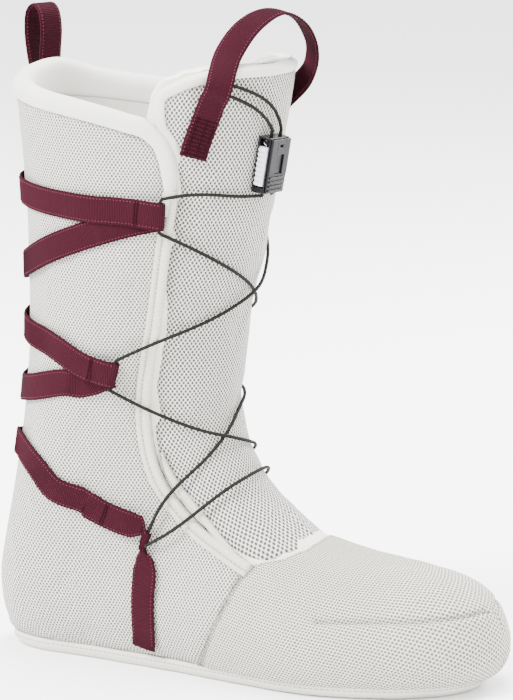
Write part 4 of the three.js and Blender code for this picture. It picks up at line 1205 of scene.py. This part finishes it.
rings = np.zeros((len(rim_route), len(RIM_SECTION), 3))
for k, (step, rise) in enumerate(RIM_SECTION):
    t, angle = walk(rim_route[:, 0], rim_route[:, 1], rim_across, step)
    shown = smooth((rise + 6) / 5)
    rings[:, k] = over(t, angle, rise - side_drop * shown)
rim_piece = skin_piece("tongue_rim", rings, collar_cloth)
t, angle = walk(rim_route[:, 0], rim_route[:, 1], rim_across, -5.4)
rim_top = rim_route[:, 0] > 12.8
rim_stitch = over(t, angle, 0.5 - side_drop)[rim_top]

PIPING_ROUTE = [[6.9, 57.8], [6.2, 56.6], [5.6, 55.2], [5.1, 54.2], [4.7, 53.6], [4.3, 53.4], [4.05, 54]]
PIPING_SECTION = rounded([
    [-1.7, -1.6], [-1.7, 0.2], [-0.9, 1.0], [0.4, 1.15], [1.6, 0.6], [1.9, -0.4], [1.6, -1.8],
])
pipings = {}
for side_name, side in SIDES.items():
    line = places(PIPING_ROUTE, step=1.0, side=side)[:, :2]
    behind = surface(line[:, 0], line[:, 1] + 0.05 * side) - surface(line[:, 0], line[:, 1])
    widths = 0.35 + 0.65 * smooth(np.arange(len(line)) / 12)
    pipings[side_name] = swept(
        f"tongue_piping_{side_name}", line, across_line(line, behind), PIPING_SECTION, satin, widths)
print("tongue rim", len(rim_route), "rings")

# %% [markdown]
# ## Webbing
# Grosgrain has a rib at each weft yarn. A strap starts as a flat grid down its middle layer; the
# grid is cut into four rows for each rib, and both faces are raised and lowered over the ribs.

# %% Webbing from a middle layer
RIB_HEIGHT = 0.11
STRAP_SHARES = np.array([-1, -0.8, -0.5, -0.17, 0.17, 0.5, 0.8, 1])


def even_rows(layer, step, soften):
    """The layer at even steps, with its bends softened, and the length at each row."""
    middle = layer[:, layer.shape[1] // 2]
    done = np.concatenate([[0], np.cumsum(np.linalg.norm(np.diff(middle, axis=0), axis=1))])
    count = int(done[-1] / step) + 1
    wanted = np.linspace(0, done[-1], count)
    flat = layer.reshape(len(layer), -1)
    made = np.stack([np.interp(wanted, done, flat[:, k]) for k in range(flat.shape[1])], -1)
    weights = np.hanning(2 * soften + 3)[1:-1]
    weights /= weights.sum()
    before, after = 2 * made[0] - made[1:soften + 1][::-1], 2 * made[-1] - made[-soften - 1:-1][::-1]
    padded = np.vstack([before, made, after])
    made = np.stack([np.convolve(padded[:, k], weights, "valid") for k in range(made.shape[1])], -1)
    return made.reshape(count, layer.shape[1], 3), wanted


def layer_normals(layer):
    return unit(np.cross(np.gradient(layer, axis=0), np.gradient(layer, axis=1)))


def webbing_piece(name, layer, thickness=WEBBING_THICKNESS):
    layer, done = even_rows(layer, RIB / 4, 8)
    n = layer_normals(layer)
    rib = RIB_HEIGHT * np.cos(2 * math.pi * done / RIB)[:, None, None]
    half_thick = thickness / 2 * np.array([0.45, 0.9, 1, 1, 1, 1, 0.9, 0.45])[None, :, None]
    top = layer + n * (half_thick + rib)
    low = layer - n * (half_thick + rib)
    rings = np.concatenate([top, low[:, ::-1]], axis=1)
    return skin_piece(name, rings, grosgrain), layer, n, done


def strap_layer(name, side_name):
    """The middle layer of a strap, leg, fold and leg, and the row where the fold starts."""
    strap = STRAPS[name]
    shown_width = strap.get("shown_width", strap["fold_width"])
    narrow = shown_width / WEBBING_WIDTH
    first, second, turn = strap_lines[name, side_name]
    made = []
    for line, flip in ((first, 1), (second, -1)):
        on = over(line[:, 0], line[:, 1], line[:, 2])
        out = normal(line[:, 0], line[:, 1])
        across = unit(np.cross(out, unit(np.gradient(on, axis=0)))) * flip
        to_fold = np.arange(len(line))[::-1] if flip > 0 else np.arange(len(line))
        width = WEBBING_WIDTH / 2 * (narrow + (1 - narrow) * smooth(to_fold / 9))
        columns = []
        for share in STRAP_SHARES:
            t, angle = walk(line[:, 0], line[:, 1], across, share * width)
            columns.append(over(t, angle, line[:, 2]))
        made.append(np.stack(columns, 1))
    centre, out, forward, across = fold_frame(name, side_name)
    bend = []
    for degrees in np.linspace(80, -80, 11):
        spoke = forward * math.cos(math.radians(degrees)) + out * math.sin(math.radians(degrees))
        bend.append([centre + spoke * turn + across * share * shown_width / 2 for share in STRAP_SHARES])
    return np.concatenate([made[0][:-1], np.array(bend), made[1][1:]]), len(made[0])


# %% Make the straps
EDGE_COLUMNS = (1, 6)
THREAD_HEIGHT = 0.72
TACK_HEIGHT = 0.8
TACK_GAP = 1.3
TACK_FROM_FOLD = {"upper": 15, "middle": 15, "lower": 33}
straps, strap_edges, strap_tacks = {}, [], []
for name in STRAPS:
    for side_name in SIDES:
        layer, folded_at = strap_layer(name, side_name)
        piece, fine, n, done = webbing_piece(f"{name}_strap_{side_name}_webbing", layer)
        straps[name, side_name] = piece
        fold = done[np.argmin(np.linalg.norm(fine[:, 3] - layer[folded_at + 4, 3], axis=1))]
        for lo, hi, sign in ((4, fold - 4, 1), (fold + 4, done[-1] - 4, -1)):
            rows = (done > lo) & (done < hi)
            layer_out = n[rows] * sign
            for column in EDGE_COLUMNS:
                on_face = fine[rows, column] + layer_out[:, column] * THREAD_HEIGHT
                strap_edges.append((on_face, layer_out[:, column]))
        tack = TACK_FROM_FOLD[name]
        for offset in (0, TACK_GAP):
            row = int(np.argmin(np.abs(done - (fold - tack - offset))))
            strap_tacks.append(((fine[row] + n[row] * TACK_HEIGHT)[1:-1], n[row][1:-1]))
        print(piece.name, round(float(done[-1])), "mm long")

# %% [markdown]
# ## Pull loops
# One loop stands on the back of the cuff and one arches over the top of the tongue. Each is a
# strip of the same webbing, with its sewn ends on the boot.

# %% Make the loops
PULL_PATH = [
    ([14.16, 50.4], 1.5), ([14.4, 49.4], 1.5), ([14.7, 47.8], 1.6), ([14.95, 46.4], 2.1),
    ([15.15, 45.6], 3.4), ([15.4, 44.6], 5.4), ([15.6, 43.5], 7.2),
]
PULL_APEX = [
    [[60, -30, 323], [0.35, -0.75, 0.45]], [[66, -17, 337], [0.25, -0.35, 0.9]],
    [[73, 0, 342.5], [0.2, 0.15, 1]], [[80, 13, 336.5], [0.5, 0.6, 0.6]],
    [[82.5, 22, 323], [0.6, 0.8, 0.1]], [[77, 29.5, 309], [0.6, 0.8, -0.1]],
]
PULL_BACK = [
    ([15.05, -43], 5), ([14.75, -45.5], 2.6), ([14.45, -47.2], 1.7), ([14.1, -48.8], 1.5), ([13.8, -50], 1.5),
]
SEWN_LENGTH = 22


HALF_STRAP = (STRAP_SHARES * WEBBING_WIDTH / 2)[None, :, None]


def edge_threads(layer, n, ends):
    """Stitch lines along both edges of a loop, on both faces."""
    inner = slice(ends, -ends)
    return [
        (layer[inner, column] + n[inner, column] * THREAD_HEIGHT * face, n[inner, column])
        for column in EDGE_COLUMNS for face in (1, -1)]


def on_tongue(rows):
    return [(over(t, math.radians(a), np.array(h, float)), normal(t, math.radians(a))) for (t, a), h in rows]


bow = [(np.array(p, float), unit(np.array(n))) for p, n in PULL_APEX]
rows = on_tongue(PULL_PATH) + bow + on_tongue(PULL_BACK)
centre = through([p for p, _ in rows], 30)
facing = through([n for _, n in rows], 30)[:len(centre)]
forward = unit(np.gradient(centre, axis=0))
facing = unit(facing - forward * (facing * forward).sum(-1, keepdims=True))
across = np.cross(facing, forward)
layer = centre[:, None] + across[:, None] * HALF_STRAP
tongue_loop, loop_layer, loop_n, loop_done = webbing_piece("tongue_loop_webbing", layer)
loop_edges = edge_threads(loop_layer, loop_n, 12)
patch_lines = []
for reach in (loop_done < SEWN_LENGTH, loop_done > loop_done[-1] - SEWN_LENGTH):
    ids = np.where(reach)[0][8:-4]
    for row in ids[::9]:
        patch_lines.append((loop_layer[row, 1:7] + loop_n[row, 1:7] * 0.78, loop_n[row, 1:7]))
    for column in (1, 3, 5):
        patch_lines.append((loop_layer[ids, column] + loop_n[ids, column] * TACK_HEIGHT, loop_n[ids, column]))

REAR_T, REAR_ANGLE = 14.75, math.radians(200)
REAR_SEWN_TOP = 301.5
rear_out = unit(normal(REAR_T, REAR_ANGLE) * np.array([1, 1, 0]))
rear_foot = surface(REAR_T, REAR_ANGLE) * np.array([1, 1, 0]) + np.array([0, 0, REAR_SEWN_TOP])
rear_across = np.array([-rear_out[1], rear_out[0], 0])
REAR_PATH = [
    [3.2, -34], [3.4, -24], [3.3, -13], [2.9, 0], [2.2, 12], [1.2, 24], [3.6, 33.5], [8.6, 36.5],
    [13.6, 32.5], [15, 22], [12.6, 8], [8.4, -5], [5.7, -13], [4.9, -22], [4.7, -34],
]
centre = through([rear_foot + rear_out * a + np.array([0, 0, z]) for a, z in REAR_PATH], 30)
layer = centre[:, None] + rear_across[None, None] * HALF_STRAP
rear_loop, rear_layer, rear_n, rear_done = webbing_piece("rear_loop_webbing", layer)
print("webbing in the loops", [round(float(d[-1])) for d in (loop_done, rear_done)], "mm")

# %% [markdown]
# ## Lace
# A thin braided lace, round in section. It is swept along its route with a frame that never twists.

# %% Make the lace


def round_tube(name, line, diameter, sides, material):
    forward = unit(np.gradient(line, axis=0))
    side = np.array([0.0, 0, 1]) if abs(forward[0][2]) < 0.8 else np.array([1.0, 0, 0])
    rings = []
    turn = 2 * math.pi * np.arange(sides) / sides
    for p, f in zip(line, forward):
        side = unit(side - f * (side @ f))
        other = np.cross(f, side)
        rings.append(p + (np.cos(turn)[:, None] * side + np.sin(turn)[:, None] * other) * diameter / 2)
    return skin_piece(name, rings, material)


lace = round_tube("lace_cord", lace_line, LACE_DIAMETER, 10, braid)
print("lace", len(lace.data.polygons), "faces")

# %% [markdown]
# ## Inside and below
# The lining follows the last a wall's thickness further in. The footbed lies inside it, and a
# taped rand runs round the bottom edge, where the upper is stitched to the sole.

# %% Make the lining
LINING_DEPTH = 9.1


def joined_piece(name, grids, material):
    points, faces, start = [], [], 0
    for grid, flip in grids:
        points.append(grid.reshape(-1, 3))
        made = grid_faces(*grid.shape[:2], start=start)
        faces.append(made[:, ::-1] if flip else made)
        start += len(points[-1])
    return mesh_piece(name, np.vstack(points), np.vstack(faces), material)


inner_grids = []
coarse = quarter_grid(44, 70)
for side in (1, -1):
    t, angle = coarse[..., 0], coarse[..., 1] * side
    wavy = ripple(surface(t, angle), 2.0) * 0.5
    inner_grids.append((over(t, angle, -LINING_DEPTH + wavy), side > 0))
t = vamp_end(vamp_angles[::3])[None, :] * np.linspace(0.004, 1, 50)[:, None]
a = np.broadcast_to(vamp_angles[::3], t.shape)
inner_vamp = over(t, a, np.full(t.shape, -5.9) - 3.2 * smooth((t - 2.5) / 2))
inner_vamp[..., 2] = np.maximum(inner_vamp[..., 2], 8.9)
inner_grids.append((inner_vamp, True))
lining = joined_piece("lining_cloth", inner_grids, lining_cloth)
thicken(lining, 1.2)
t = np.linspace(10.5, 15.2, 70)
seam_columns = np.radians(180 + np.linspace(-1, 1, 7) * 4.2)
seam_grid = np.stack([over(t, np.full(70, a), np.full(70, -10.15)) for a in seam_columns], 1)
lining_tape = mesh_piece("lining_back_tape", seam_grid.reshape(-1, 3), grid_faces(70, 7), collar_cloth)
thicken(lining_tape, 0.5, inward=False)
print("lining", len(lining.data.vertices), "corners")

# %% Make the footbed and the rand


def contour(z, count):
    """Evenly spaced places round the boot at a height near the sole."""
    toe = solve(np.array(0.02), np.array(1.7), lambda t: z - surface(t, math.pi)[..., 2]) if z > 0 else 1.2
    heel = solve(np.array(7.0), np.array(9.0), lambda t: surface(t, math.pi)[..., 2] - z)
    share = (1 - np.cos(np.linspace(0, math.pi, 400))) / 2
    t = toe + (heel - toe) * share
    angle = bottom_angle(t, z)
    angle[0] = angle[-1] = math.pi
    outer = np.stack([t, angle], -1)
    ring = np.vstack([outer, outer[::-1][1:] * MIRROR + np.array([0, 2 * math.pi])])
    return spaced(ring, count + 1, surface(ring[:, 0], ring[:, 1]))[:-1]


rand_places = contour(3.6, 520)
rand_on = surface(rand_places[:, 0], rand_places[:, 1])
rand_normal = normal(rand_places[:, 0], rand_places[:, 1])
level = unit(rand_normal * np.array([1, 1, 0]))
lean = np.clip(-rand_normal[:, 2] / np.maximum((rand_normal[:, :2] ** 2).sum(-1) ** 0.5, 0.2), 0, 1.2)
RAND_SECTION = rounded([
    [-1.2, 0.15], [0.35, 0.6], [0.75, 2.0], [0.95, 3.6], [0.85, 5.2], [0.6, 6.6], [0.0, 7.5], [-1.6, 7.5],
    [-2.3, 5], [-2.3, 2], [-2.2, 0.3],
], 2)


def rand_point(out, z):
    tilt = lean * (z - 3.6) * np.where(z < 3.6, 0.9, 0.45)
    soft = 0.12 * np.sin(np.arange(len(rand_on)) * 0.31) + 0.1 * np.sin(np.arange(len(rand_on)) * 0.113)
    made = rand_on + level * (out + tilt + soft)[:, None]
    made[:, 2] = z
    return made


rings = np.stack([rand_point(out, z) for out, z in RAND_SECTION], 1)
rings = np.vstack([rings, rings[:1]])
rand = skin_piece("sole_rand_tape", rings, rand_cloth)
rand_stitch = rand_point(0.98, 5.3)
rand_stitch = np.vstack([rand_stitch, rand_stitch[:1]])

BED_TOP = 13.6
bed_places = contour(13.0, 160)
bed_on = over(bed_places[:, 0], bed_places[:, 1], -6.4 - 3.0 * smooth((bed_places[:, 0] - 1) / 5))
spine = np.stack([np.clip(bed_on[:, 0], -45, 165), np.full(160, -2.0), np.full(160, 14.0)], -1)
shares = np.linspace(0.02, 1, 26)
bed = spine[None] + (bed_on - spine)[None] * shares[:, None, None]
heel_side = smooth((60 - bed[..., 0]) / 50)
lip = (0.8 + 1.8 * heel_side) * smooth((shares[:, None] - 0.62) / 0.38)
bed[..., 2] = BED_TOP + lip + 0.5 * np.sin(bed[..., 0] / 31)
footbed = mesh_piece("footbed_felt", bed.reshape(-1, 3), grid_faces(26, 160, wrap=True), lining_cloth)
thicken(footbed, 3.2)
print("rand", round(float(np.linalg.norm(np.diff(rand_stitch, axis=0), axis=1).sum())), "mm round")

# %% [markdown]
# ## Lace lock
# The lock is a small moulded case with a front cover. A white key with teeth sits in its side and
# is pressed to let the lace run. Boxes with softened edges make it, in the lock's own directions.

# %% Lock parts
LOCK_FRAME = np.array([LOCK_ACROSS, LOCK_OUT, LOCK_UP])


def box_corners(u0, u1, v0, v1, w0, w1, taper=0.0):
    """Corners of a box; taper draws its lower end in on each side."""
    made = []
    for w in (w0, w1):
        narrow = taper if w == w0 else 0
        for v in (v0, v1):
            for u in (u0 + narrow, u1 - narrow):
                made.append((u, v, w))
    return made


BOX_FACES = [(0, 2, 3, 1), (4, 5, 7, 6), (0, 1, 5, 4), (2, 6, 7, 3), (0, 4, 6, 2), (1, 3, 7, 5)]


def lock_piece(name, boxes, material, bevel):
    """Boxes (u0, u1, v0, v1, w0, w1[, taper]) in the lock's directions, softened and joined."""
    bm = bmesh.new()
    for box in boxes:
        corners = [bm.verts.new((LOCK_ORIGIN + np.array(c) @ LOCK_FRAME) * MM) for c in box_corners(*box)]
        for face in BOX_FACES:
            bm.faces.new([corners[k] for k in face])
    bmesh.ops.recalc_face_normals(bm, faces=bm.faces)
    mesh = bpy.data.meshes.new(name)
    bm.to_mesh(mesh)
    bm.free()
    mesh.materials.append(material)
    obj = link(bpy.data.objects.new(name, mesh))
    softened = obj.modifiers.new("soft edges", "BEVEL")
    softened.width = bevel * MM
    softened.segments = 3
    softened.limit_method = "ANGLE"
    mesh.polygons.foreach_set("use_smooth", [True] * len(mesh.polygons))
    weighted = obj.modifiers.new("even shading", "WEIGHTED_NORMAL")
    weighted.keep_sharp = True
    return obj


case_boxes = [
    (-5.6, 8.5, 0, 7.3, -14.5, -11.4), (-5.6, 8.5, 0, 7.3, 13.2, 14.5),
    (-5.6, -4.6, 0, 7.3, -11.6, 13.4), (6.9, 8.5, 0, 7.3, -11.6, 13.4),
    (-4.7, 7.0, 0, 1.4, -11.6, 13.4), (-4.7, 7.0, 5.9, 7.3, -11.6, 13.4),
    (-8.5, -5.5, 0, 0.9, -14.5, 14.5), (-8.5, -5.5, 6.5, 7.3, -14.5, 14.5),
    (-8.5, -5.5, 0.8, 6.6, -14.5, -11.5), (-8.5, -5.5, 0.8, 6.6, 13.5, 14.5),
    (-0.6, 2.4, 1.3, 6.0, -11.6, 13.4),
]
cover_boxes = [
    (-8.1, -3.4, 7.55, 8.9, -4.2, 14.0), (3.4, 8.1, 7.55, 8.9, -4.2, 14.0),
    (-3.6, 3.6, 7.55, 8.9, 6.0, 9.7), (-3.6, 3.6, 7.55, 8.9, 11.2, 14.0),
    (-3.6, -1.4, 7.55, 8.9, 9.5, 11.4), (1.4, 3.6, 7.55, 8.9, 9.5, 11.4),
    (-8.1, 8.1, 7.55, 8.7, -14.0, -4.0, 0.5),
    *[(-6.9, 6.9, 8.4, 9.4, -13.0 + 2.2 * k, -12.0 + 2.2 * k) for k in range(4)],
    (-3.5, 3.5, 7.35, 8.0, -4.2, 11.4),
]
lock_case = lock_piece("lock_case_moulding", case_boxes, black_plastic, 0.35)
lock_cover = lock_piece("lock_cover_plate", cover_boxes, black_plastic, 0.3)
key_boxes = [(-8.9, -6.05, 1.25, 6.15, -10.7, 9.5)]
key_boxes += [(-9.7, -8.6, 1.35, 6.05, -10.2 + 2.5 * k, -8.7 + 2.5 * k) for k in range(8)]
lock_key = lock_piece("lock_key_moulding", key_boxes, white_plastic, 0.45)
print("lock parts", [o.name for o in (lock_case, lock_cover, lock_key)])

# %% [markdown]
# ## Stitches
# A stitch is a short bead of thread, and a seam is the same bead again and again. A Geometry Nodes
# tree cuts a seam line into even steps and puts a bead on each one, turned along the line. Its zigzag
# input turns every second bead the other way, which gives the overlocked seams.

# %% Build the stitch tree


def stitch_tree():
    tree = bpy.data.node_groups.new("stitches", "GeometryNodeTree")
    face = tree.interface
    face.new_socket("Geometry", in_out="INPUT", socket_type="NodeSocketGeometry")
    for name, value in (("Spacing", 0.003), ("Length", 0.0022), ("Thread", 0.0005), ("Zigzag", 0.0)):
        face.new_socket(name, in_out="INPUT", socket_type="NodeSocketFloat").default_value = value
    face.new_socket("Finish", in_out="INPUT", socket_type="NodeSocketMaterial")
    face.new_socket("Geometry", in_out="OUTPUT", socket_type="NodeSocketGeometry")

    def node(kind, **settings):
        return add_node(tree, kind, **settings)

    given, made = node("NodeGroupInput"), node("NodeGroupOutput")
    curve = node("GeometryNodeMeshToCurve")
    steps = node("GeometryNodeResampleCurve")
    steps.mode = "LENGTH"
    tangent = node("GeometryNodeInputTangent")
    out = node("GeometryNodeInputNamedAttribute", data_type="FLOAT_VECTOR")
    out.inputs["Name"].default_value = "out"
    index = node("GeometryNodeInputIndex")
    odd = node("ShaderNodeMath", operation="FLOORED_MODULO")
    odd.inputs[1].default_value = 2.0
    sign = node("ShaderNodeMath", operation="MULTIPLY_ADD")
    sign.inputs[1].default_value, sign.inputs[2].default_value = 2.0, -1.0
    angle = node("ShaderNodeMath", operation="MULTIPLY")
    turned = node("ShaderNodeVectorRotate", rotation_type="AXIS_ANGLE")
    aim = node("FunctionNodeAlignRotationToVector", axis="X")
    bead = node("GeometryNodeMeshUVSphere")
    bead.inputs["Segments"].default_value, bead.inputs["Rings"].default_value = 6, 5
    bead.inputs["Radius"].default_value = 0.5
    smooth_bead = node("GeometryNodeSetShadeSmooth")
    size = node("ShaderNodeCombineXYZ")
    place = node("GeometryNodeInstanceOnPoints")
    real = node("GeometryNodeRealizeInstances")
    finish = node("GeometryNodeSetMaterial")
    for source, target in (
        (given.outputs["Geometry"], curve.inputs["Mesh"]), (curve.outputs[0], steps.inputs["Curve"]),
        (given.outputs["Spacing"], steps.inputs["Length"]), (index.outputs[0], odd.inputs[0]),
        (odd.outputs[0], sign.inputs[0]), (sign.outputs[0], angle.inputs[0]),
        (given.outputs["Zigzag"], angle.inputs[1]), (tangent.outputs[0], turned.inputs["Vector"]),
        (out.outputs["Attribute"], turned.inputs["Axis"]), (angle.outputs[0], turned.inputs["Angle"]),
        (turned.outputs[0], aim.inputs["Vector"]), (given.outputs["Length"], size.inputs[0]),
        (given.outputs["Thread"], size.inputs[1]), (given.outputs["Thread"], size.inputs[2]),
        (bead.outputs["Mesh"], smooth_bead.inputs[0]), (steps.outputs[0], place.inputs["Points"]),
        (smooth_bead.outputs[0], place.inputs["Instance"]), (aim.outputs[0], place.inputs["Rotation"]),
        (size.outputs[0], place.inputs["Scale"]), (place.outputs[0], real.inputs[0]),
        (real.outputs[0], finish.inputs["Geometry"]), (given.outputs["Finish"], finish.inputs["Material"]),
        (finish.outputs[0], made.inputs[0]),
    ):
        tree.links.new(source, target)
    return tree


STITCHES = stitch_tree()
SOCKETS = {s.name: s.identifier for s in STITCHES.interface.items_tree if s.in_out == "INPUT"}


def stitches(name, lines, material, spacing, length, thread, zigzag=0.0):
    """Beads of thread along lines; each line is (points, outward directions)."""
    points = np.vstack([p for p, _ in lines])
    outs = np.vstack([np.broadcast_to(o, p.shape) for p, o in lines])
    edges, start = [], 0
    for p, _ in lines:
        edges += [(start + k, start + k + 1) for k in range(len(p) - 1)]
        start += len(p)
    mesh = bpy.data.meshes.new(name)
    mesh.from_pydata((points * MM).tolist(), edges, [])
    layer = mesh.attributes.new("out", "FLOAT_VECTOR", "POINT")
    layer.data.foreach_set("vector", outs.astype(np.float32).ravel())
    guide = link(bpy.data.objects.new(name + "_line", mesh))
    made = guide.modifiers.new("stitches", "NODES")
    made.node_group = STITCHES
    for key, value in (("Spacing", spacing * MM), ("Length", length * MM), ("Thread", thread * MM),
                       ("Zigzag", math.radians(zigzag)), ("Finish", material)):
        made[SOCKETS[key]] = value
    bpy.context.view_layer.update()
    shown = guide.evaluated_get(bpy.context.evaluated_depsgraph_get())
    result = bpy.data.meshes.new_from_object(shown, depsgraph=bpy.context.evaluated_depsgraph_get())
    result.name = name
    bpy.data.objects.remove(guide)
    if not result.materials:
        result.materials.append(material)
    print(name, len(result.polygons), "faces")
    return link(bpy.data.objects.new(name, result))


# %% Sew the seams


# Spacing, length and thread thickness of a stitch in mm, then its turn in degrees.
PANEL_STITCH = (1.5, 2.1, 0.5, 38)
CORE_STITCH = (2.6, 2.2, 0.55, 6)
TOE_STITCH = (2.5, 1.8, 0.5, 8)
FRONT_STITCH = (2.4, 1.7, 0.4, 10)
THROAT_STITCH = (2.4, 1.7, 0.35, 12)
ROLL_STITCH = (2.7, 2.0, 0.42)
TAPE_STITCH = (2.5, 1.9, 0.36)
RAND_STITCH = (2.9, 2.1, 0.42)
EDGE_STITCH = (1.84, 1.0, 0.32)
TACK_STITCH = (0.8, 1.5, 0.42, 42)
BOX_STITCH = (0.9, 1.6, 0.45, 38)
SEAM_HALF_WIDTH = 0.028
FOOT_MIDDLE = np.array([60.0, 0, 25])


def place_line(line, height):
    out = normal(line[:, 0], line[:, 1])
    return over(line[:, 0], line[:, 1], np.full(len(line), height)), out


seam_lines = []
for side in (1, -1):
    line = vamp_seam * np.array([1, side])
    for shift in (-SEAM_HALF_WIDTH, SEAM_HALF_WIDTH):
        seam_lines.append(place_line(line + np.array([shift, 0]), -0.6))
seams = stitches("quarter_seam_thread", seam_lines, shaded_ivory_thread, *PANEL_STITCH)
core_lines = [place_line(vamp_seam * np.array([1, side]), -0.95) for side in (1, -1)]
seam_core = stitches("quarter_seam_core", core_lines, shaded_ivory_thread, *CORE_STITCH)

out = unit(toe_seam - FOOT_MIDDLE)
toe_thread = stitches("toe_seam_thread", [(toe_seam - out * 0.75, out)], shaded_ivory_thread, *TOE_STITCH)
out = unit(front_seam - FOOT_MIDDLE)
front_thread = stitches("toe_front_thread", [(front_seam - out * 0.3, out)], shaded_ivory_thread, *FRONT_STITCH)

throat_angles = np.radians(np.linspace(-54, 54, 90))
throat_t = np.interp(np.abs(np.degrees(throat_angles)), THROAT[:, 0], THROAT[:, 1]) - 0.03
throat_line = place_line(np.stack([throat_t, throat_angles], -1), -1.0)
throat_thread = stitches("throat_seam_thread", [throat_line], shaded_ivory_thread, *THROAT_STITCH)

t, angle = walk(collar_route[:, 0], collar_route[:, 1], up, -4.3 * collar_widths)
t, angle = t[10:-10], angle[10:-10]
collar_seam = over(t, angle, np.full(len(t), 0.05)), normal(t, angle)
collar_thread = stitches("collar_thread", [collar_seam], shaded_ivory_thread, *ROLL_STITCH)
rim_out = normal(rim_route[:, 0], rim_route[:, 1])[rim_top]
rim_thread = stitches("tongue_rim_thread", [(rim_stitch, rim_out)], shaded_ivory_thread, *ROLL_STITCH)
tape_lines = [(p, unit((p - np.array([20.0, 0, 0])) * np.array([1, 1, 0]))) for p in tape_seams.values()]
tape_thread = stitches("front_tape_thread", tape_lines, shaded_ivory_thread, *TAPE_STITCH)
rand_line = rand_stitch, np.vstack([level, level[:1]])
rand_thread = stitches("rand_thread", [rand_line], shaded_ivory_thread, *RAND_STITCH)

strap_thread = stitches("strap_edge_thread", strap_edges, red_thread, *EDGE_STITCH)
tack_thread = stitches("strap_tack_thread", strap_tacks, dark_red_thread, *TACK_STITCH)
loop_thread = stitches("tongue_loop_edge_thread", loop_edges, red_thread, *EDGE_STITCH)
patch_thread = stitches("tongue_loop_box_thread", patch_lines, dark_red_thread, *BOX_STITCH)
rear_edges = edge_threads(rear_layer, rear_n, 8)
rear_thread = stitches("rear_loop_edge_thread", rear_edges, red_thread, *EDGE_STITCH)

# %% [markdown]
# ## What moves with what
# Each piece rides on a body of the imported model. The lace and the two loops cross a joint; they
# stay where they are made, on no body. Inner layers keep their nodes and only get a better finish.

# %% Ride and replace
for side_name, piece in quarters.items():
    settle(piece, "liner", "mesh_cloth", f"quarter_{side_name}")
settle(vamp, "liner", "mesh_cloth", "vamp_top", "vamp_lateral", "vamp_medial")
settle(collar, "liner", "smooth_cloth", "collar_roll")
for side_name in SIDES:
    settle(tapes[side_name], "liner", "satin_tape", f"quarter_tape_{side_name}")
    settle(pipings[side_name], "tongue", "satin_tape")
for (name, side_name), piece in straps.items():
    settle(piece, "liner", "webbing", f"{name}_strap_{side_name}")
settle(lining, "liner", "lining_cloth", "lining")
settle(lining_tape, "liner", "lining_cloth")
settle(footbed, "liner", "foam", "footbed")
settle(rand, "liner", "smooth_cloth", "sole_rand")
settle(tongue, "tongue", "mesh_cloth", "tongue_face")
settle(tongue_inside, "tongue", "lining_cloth", "tongue_lining")
settle(rim_piece, "tongue", "smooth_cloth")
settle(lock_case, "lock", "lock_black", "lace_lock_case")
settle(lock_cover, "lock", "lock_black", "lace_lock_cover")
settle(lock_key, "lock_slider", "lock_white", "lace_lock_slider")
panel_threads = (seams, seam_core, toe_thread, front_thread, throat_thread)
for piece in (*panel_threads, collar_thread, tape_thread, rand_thread):
    settle(piece, "liner", "smooth_cloth")
settle(rim_thread, "tongue", "smooth_cloth")
for piece in (strap_thread, tack_thread):
    settle(piece, "liner", "webbing")
settle(patch_thread, "tongue", "webbing")

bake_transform(lace)
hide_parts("lace")
for piece in (tongue_loop, loop_thread):
    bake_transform(piece)
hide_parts("tongue_pull_loop", "tongue_pull_patch_lateral", "tongue_pull_patch_medial")
for piece in (rear_loop, rear_thread):
    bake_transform(piece)
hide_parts("rear_pull_loop", "rear_loop_tab")

kept = {
    "foam_bootie": foam_finish, "tongue_foam": foam_finish, "ankle_pad_lateral": foam_finish,
    "ankle_pad_medial": foam_finish, "heel_counter": cup_finish, "insole_board": cup_finish,
    "outsole": board_finish, "lace_lock_spring": steel,
}
for name, material in kept.items():
    node_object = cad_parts[name]
    node_object.data.materials.clear()
    node_object.data.materials.append(material)
print(len(kept), "nodes keep their shape")

# %% [markdown]
# ## Floor, light and camera
# A pale floor, a large soft light overhead and on each side, and a camera at a long focal length.

# %% Studio
TARGET = np.array([0.0615, 0, 0.1675])
AZIMUTH, ELEVATION, DISTANCE = math.radians(25), math.radians(11), 1.98
paper = new_material("studio paper", (0.93, 0.93, 0.935), 1.0)[0]
floor = mesh_piece("studio_floor", [[-6000, -6000, 0], [6000, -6000, 0], [6000, 6000, 0], [-6000, 6000, 0]],
                   [[0, 1, 2, 3]], paper, flat=True)

world = bpy.data.worlds.new("studio")
bpy.context.scene.world = world
world.use_nodes = True
world.node_tree.nodes["Background"].inputs["Color"].default_value = (0.95, 0.955, 0.97, 1)
world.node_tree.nodes["Background"].inputs["Strength"].default_value = 3.3


def lamp(name, place, size, power):
    data = bpy.data.lights.new(name, "AREA")
    data.shape = "DISK"
    data.size = size
    data.energy = power
    made = link(bpy.data.objects.new(name, data))
    made.location = place
    aim = Vector(TARGET) - Vector(place)
    made.rotation_euler = aim.to_track_quat("-Z", "Y").to_euler()
    return made


lamp("key light", (-0.9, -1.3, 1.5), 0.9, 150)
lamp("fill light", (1.6, -0.9, 0.9), 1.4, 20)
lamp("top light", (0.1, 0.2, 1.8), 1.2, 80)
lamp("rim light", (0.6, 1.5, 1.1), 0.8, 60)

camera_data = bpy.data.cameras.new("camera")
camera_data.sensor_width = 36
camera_data.lens = 198
camera_data.clip_end = 100
camera = link(bpy.data.objects.new("camera", camera_data))
away = np.array([
    math.sin(AZIMUTH) * math.cos(ELEVATION), -math.cos(AZIMUTH) * math.cos(ELEVATION), math.sin(ELEVATION)])
camera.location = TARGET + DISTANCE * away
camera.rotation_euler = Vector(-away).to_track_quat("-Z", "Y").to_euler()
bpy.context.scene.camera = camera
print("camera", [round(v, 3) for v in camera.location])
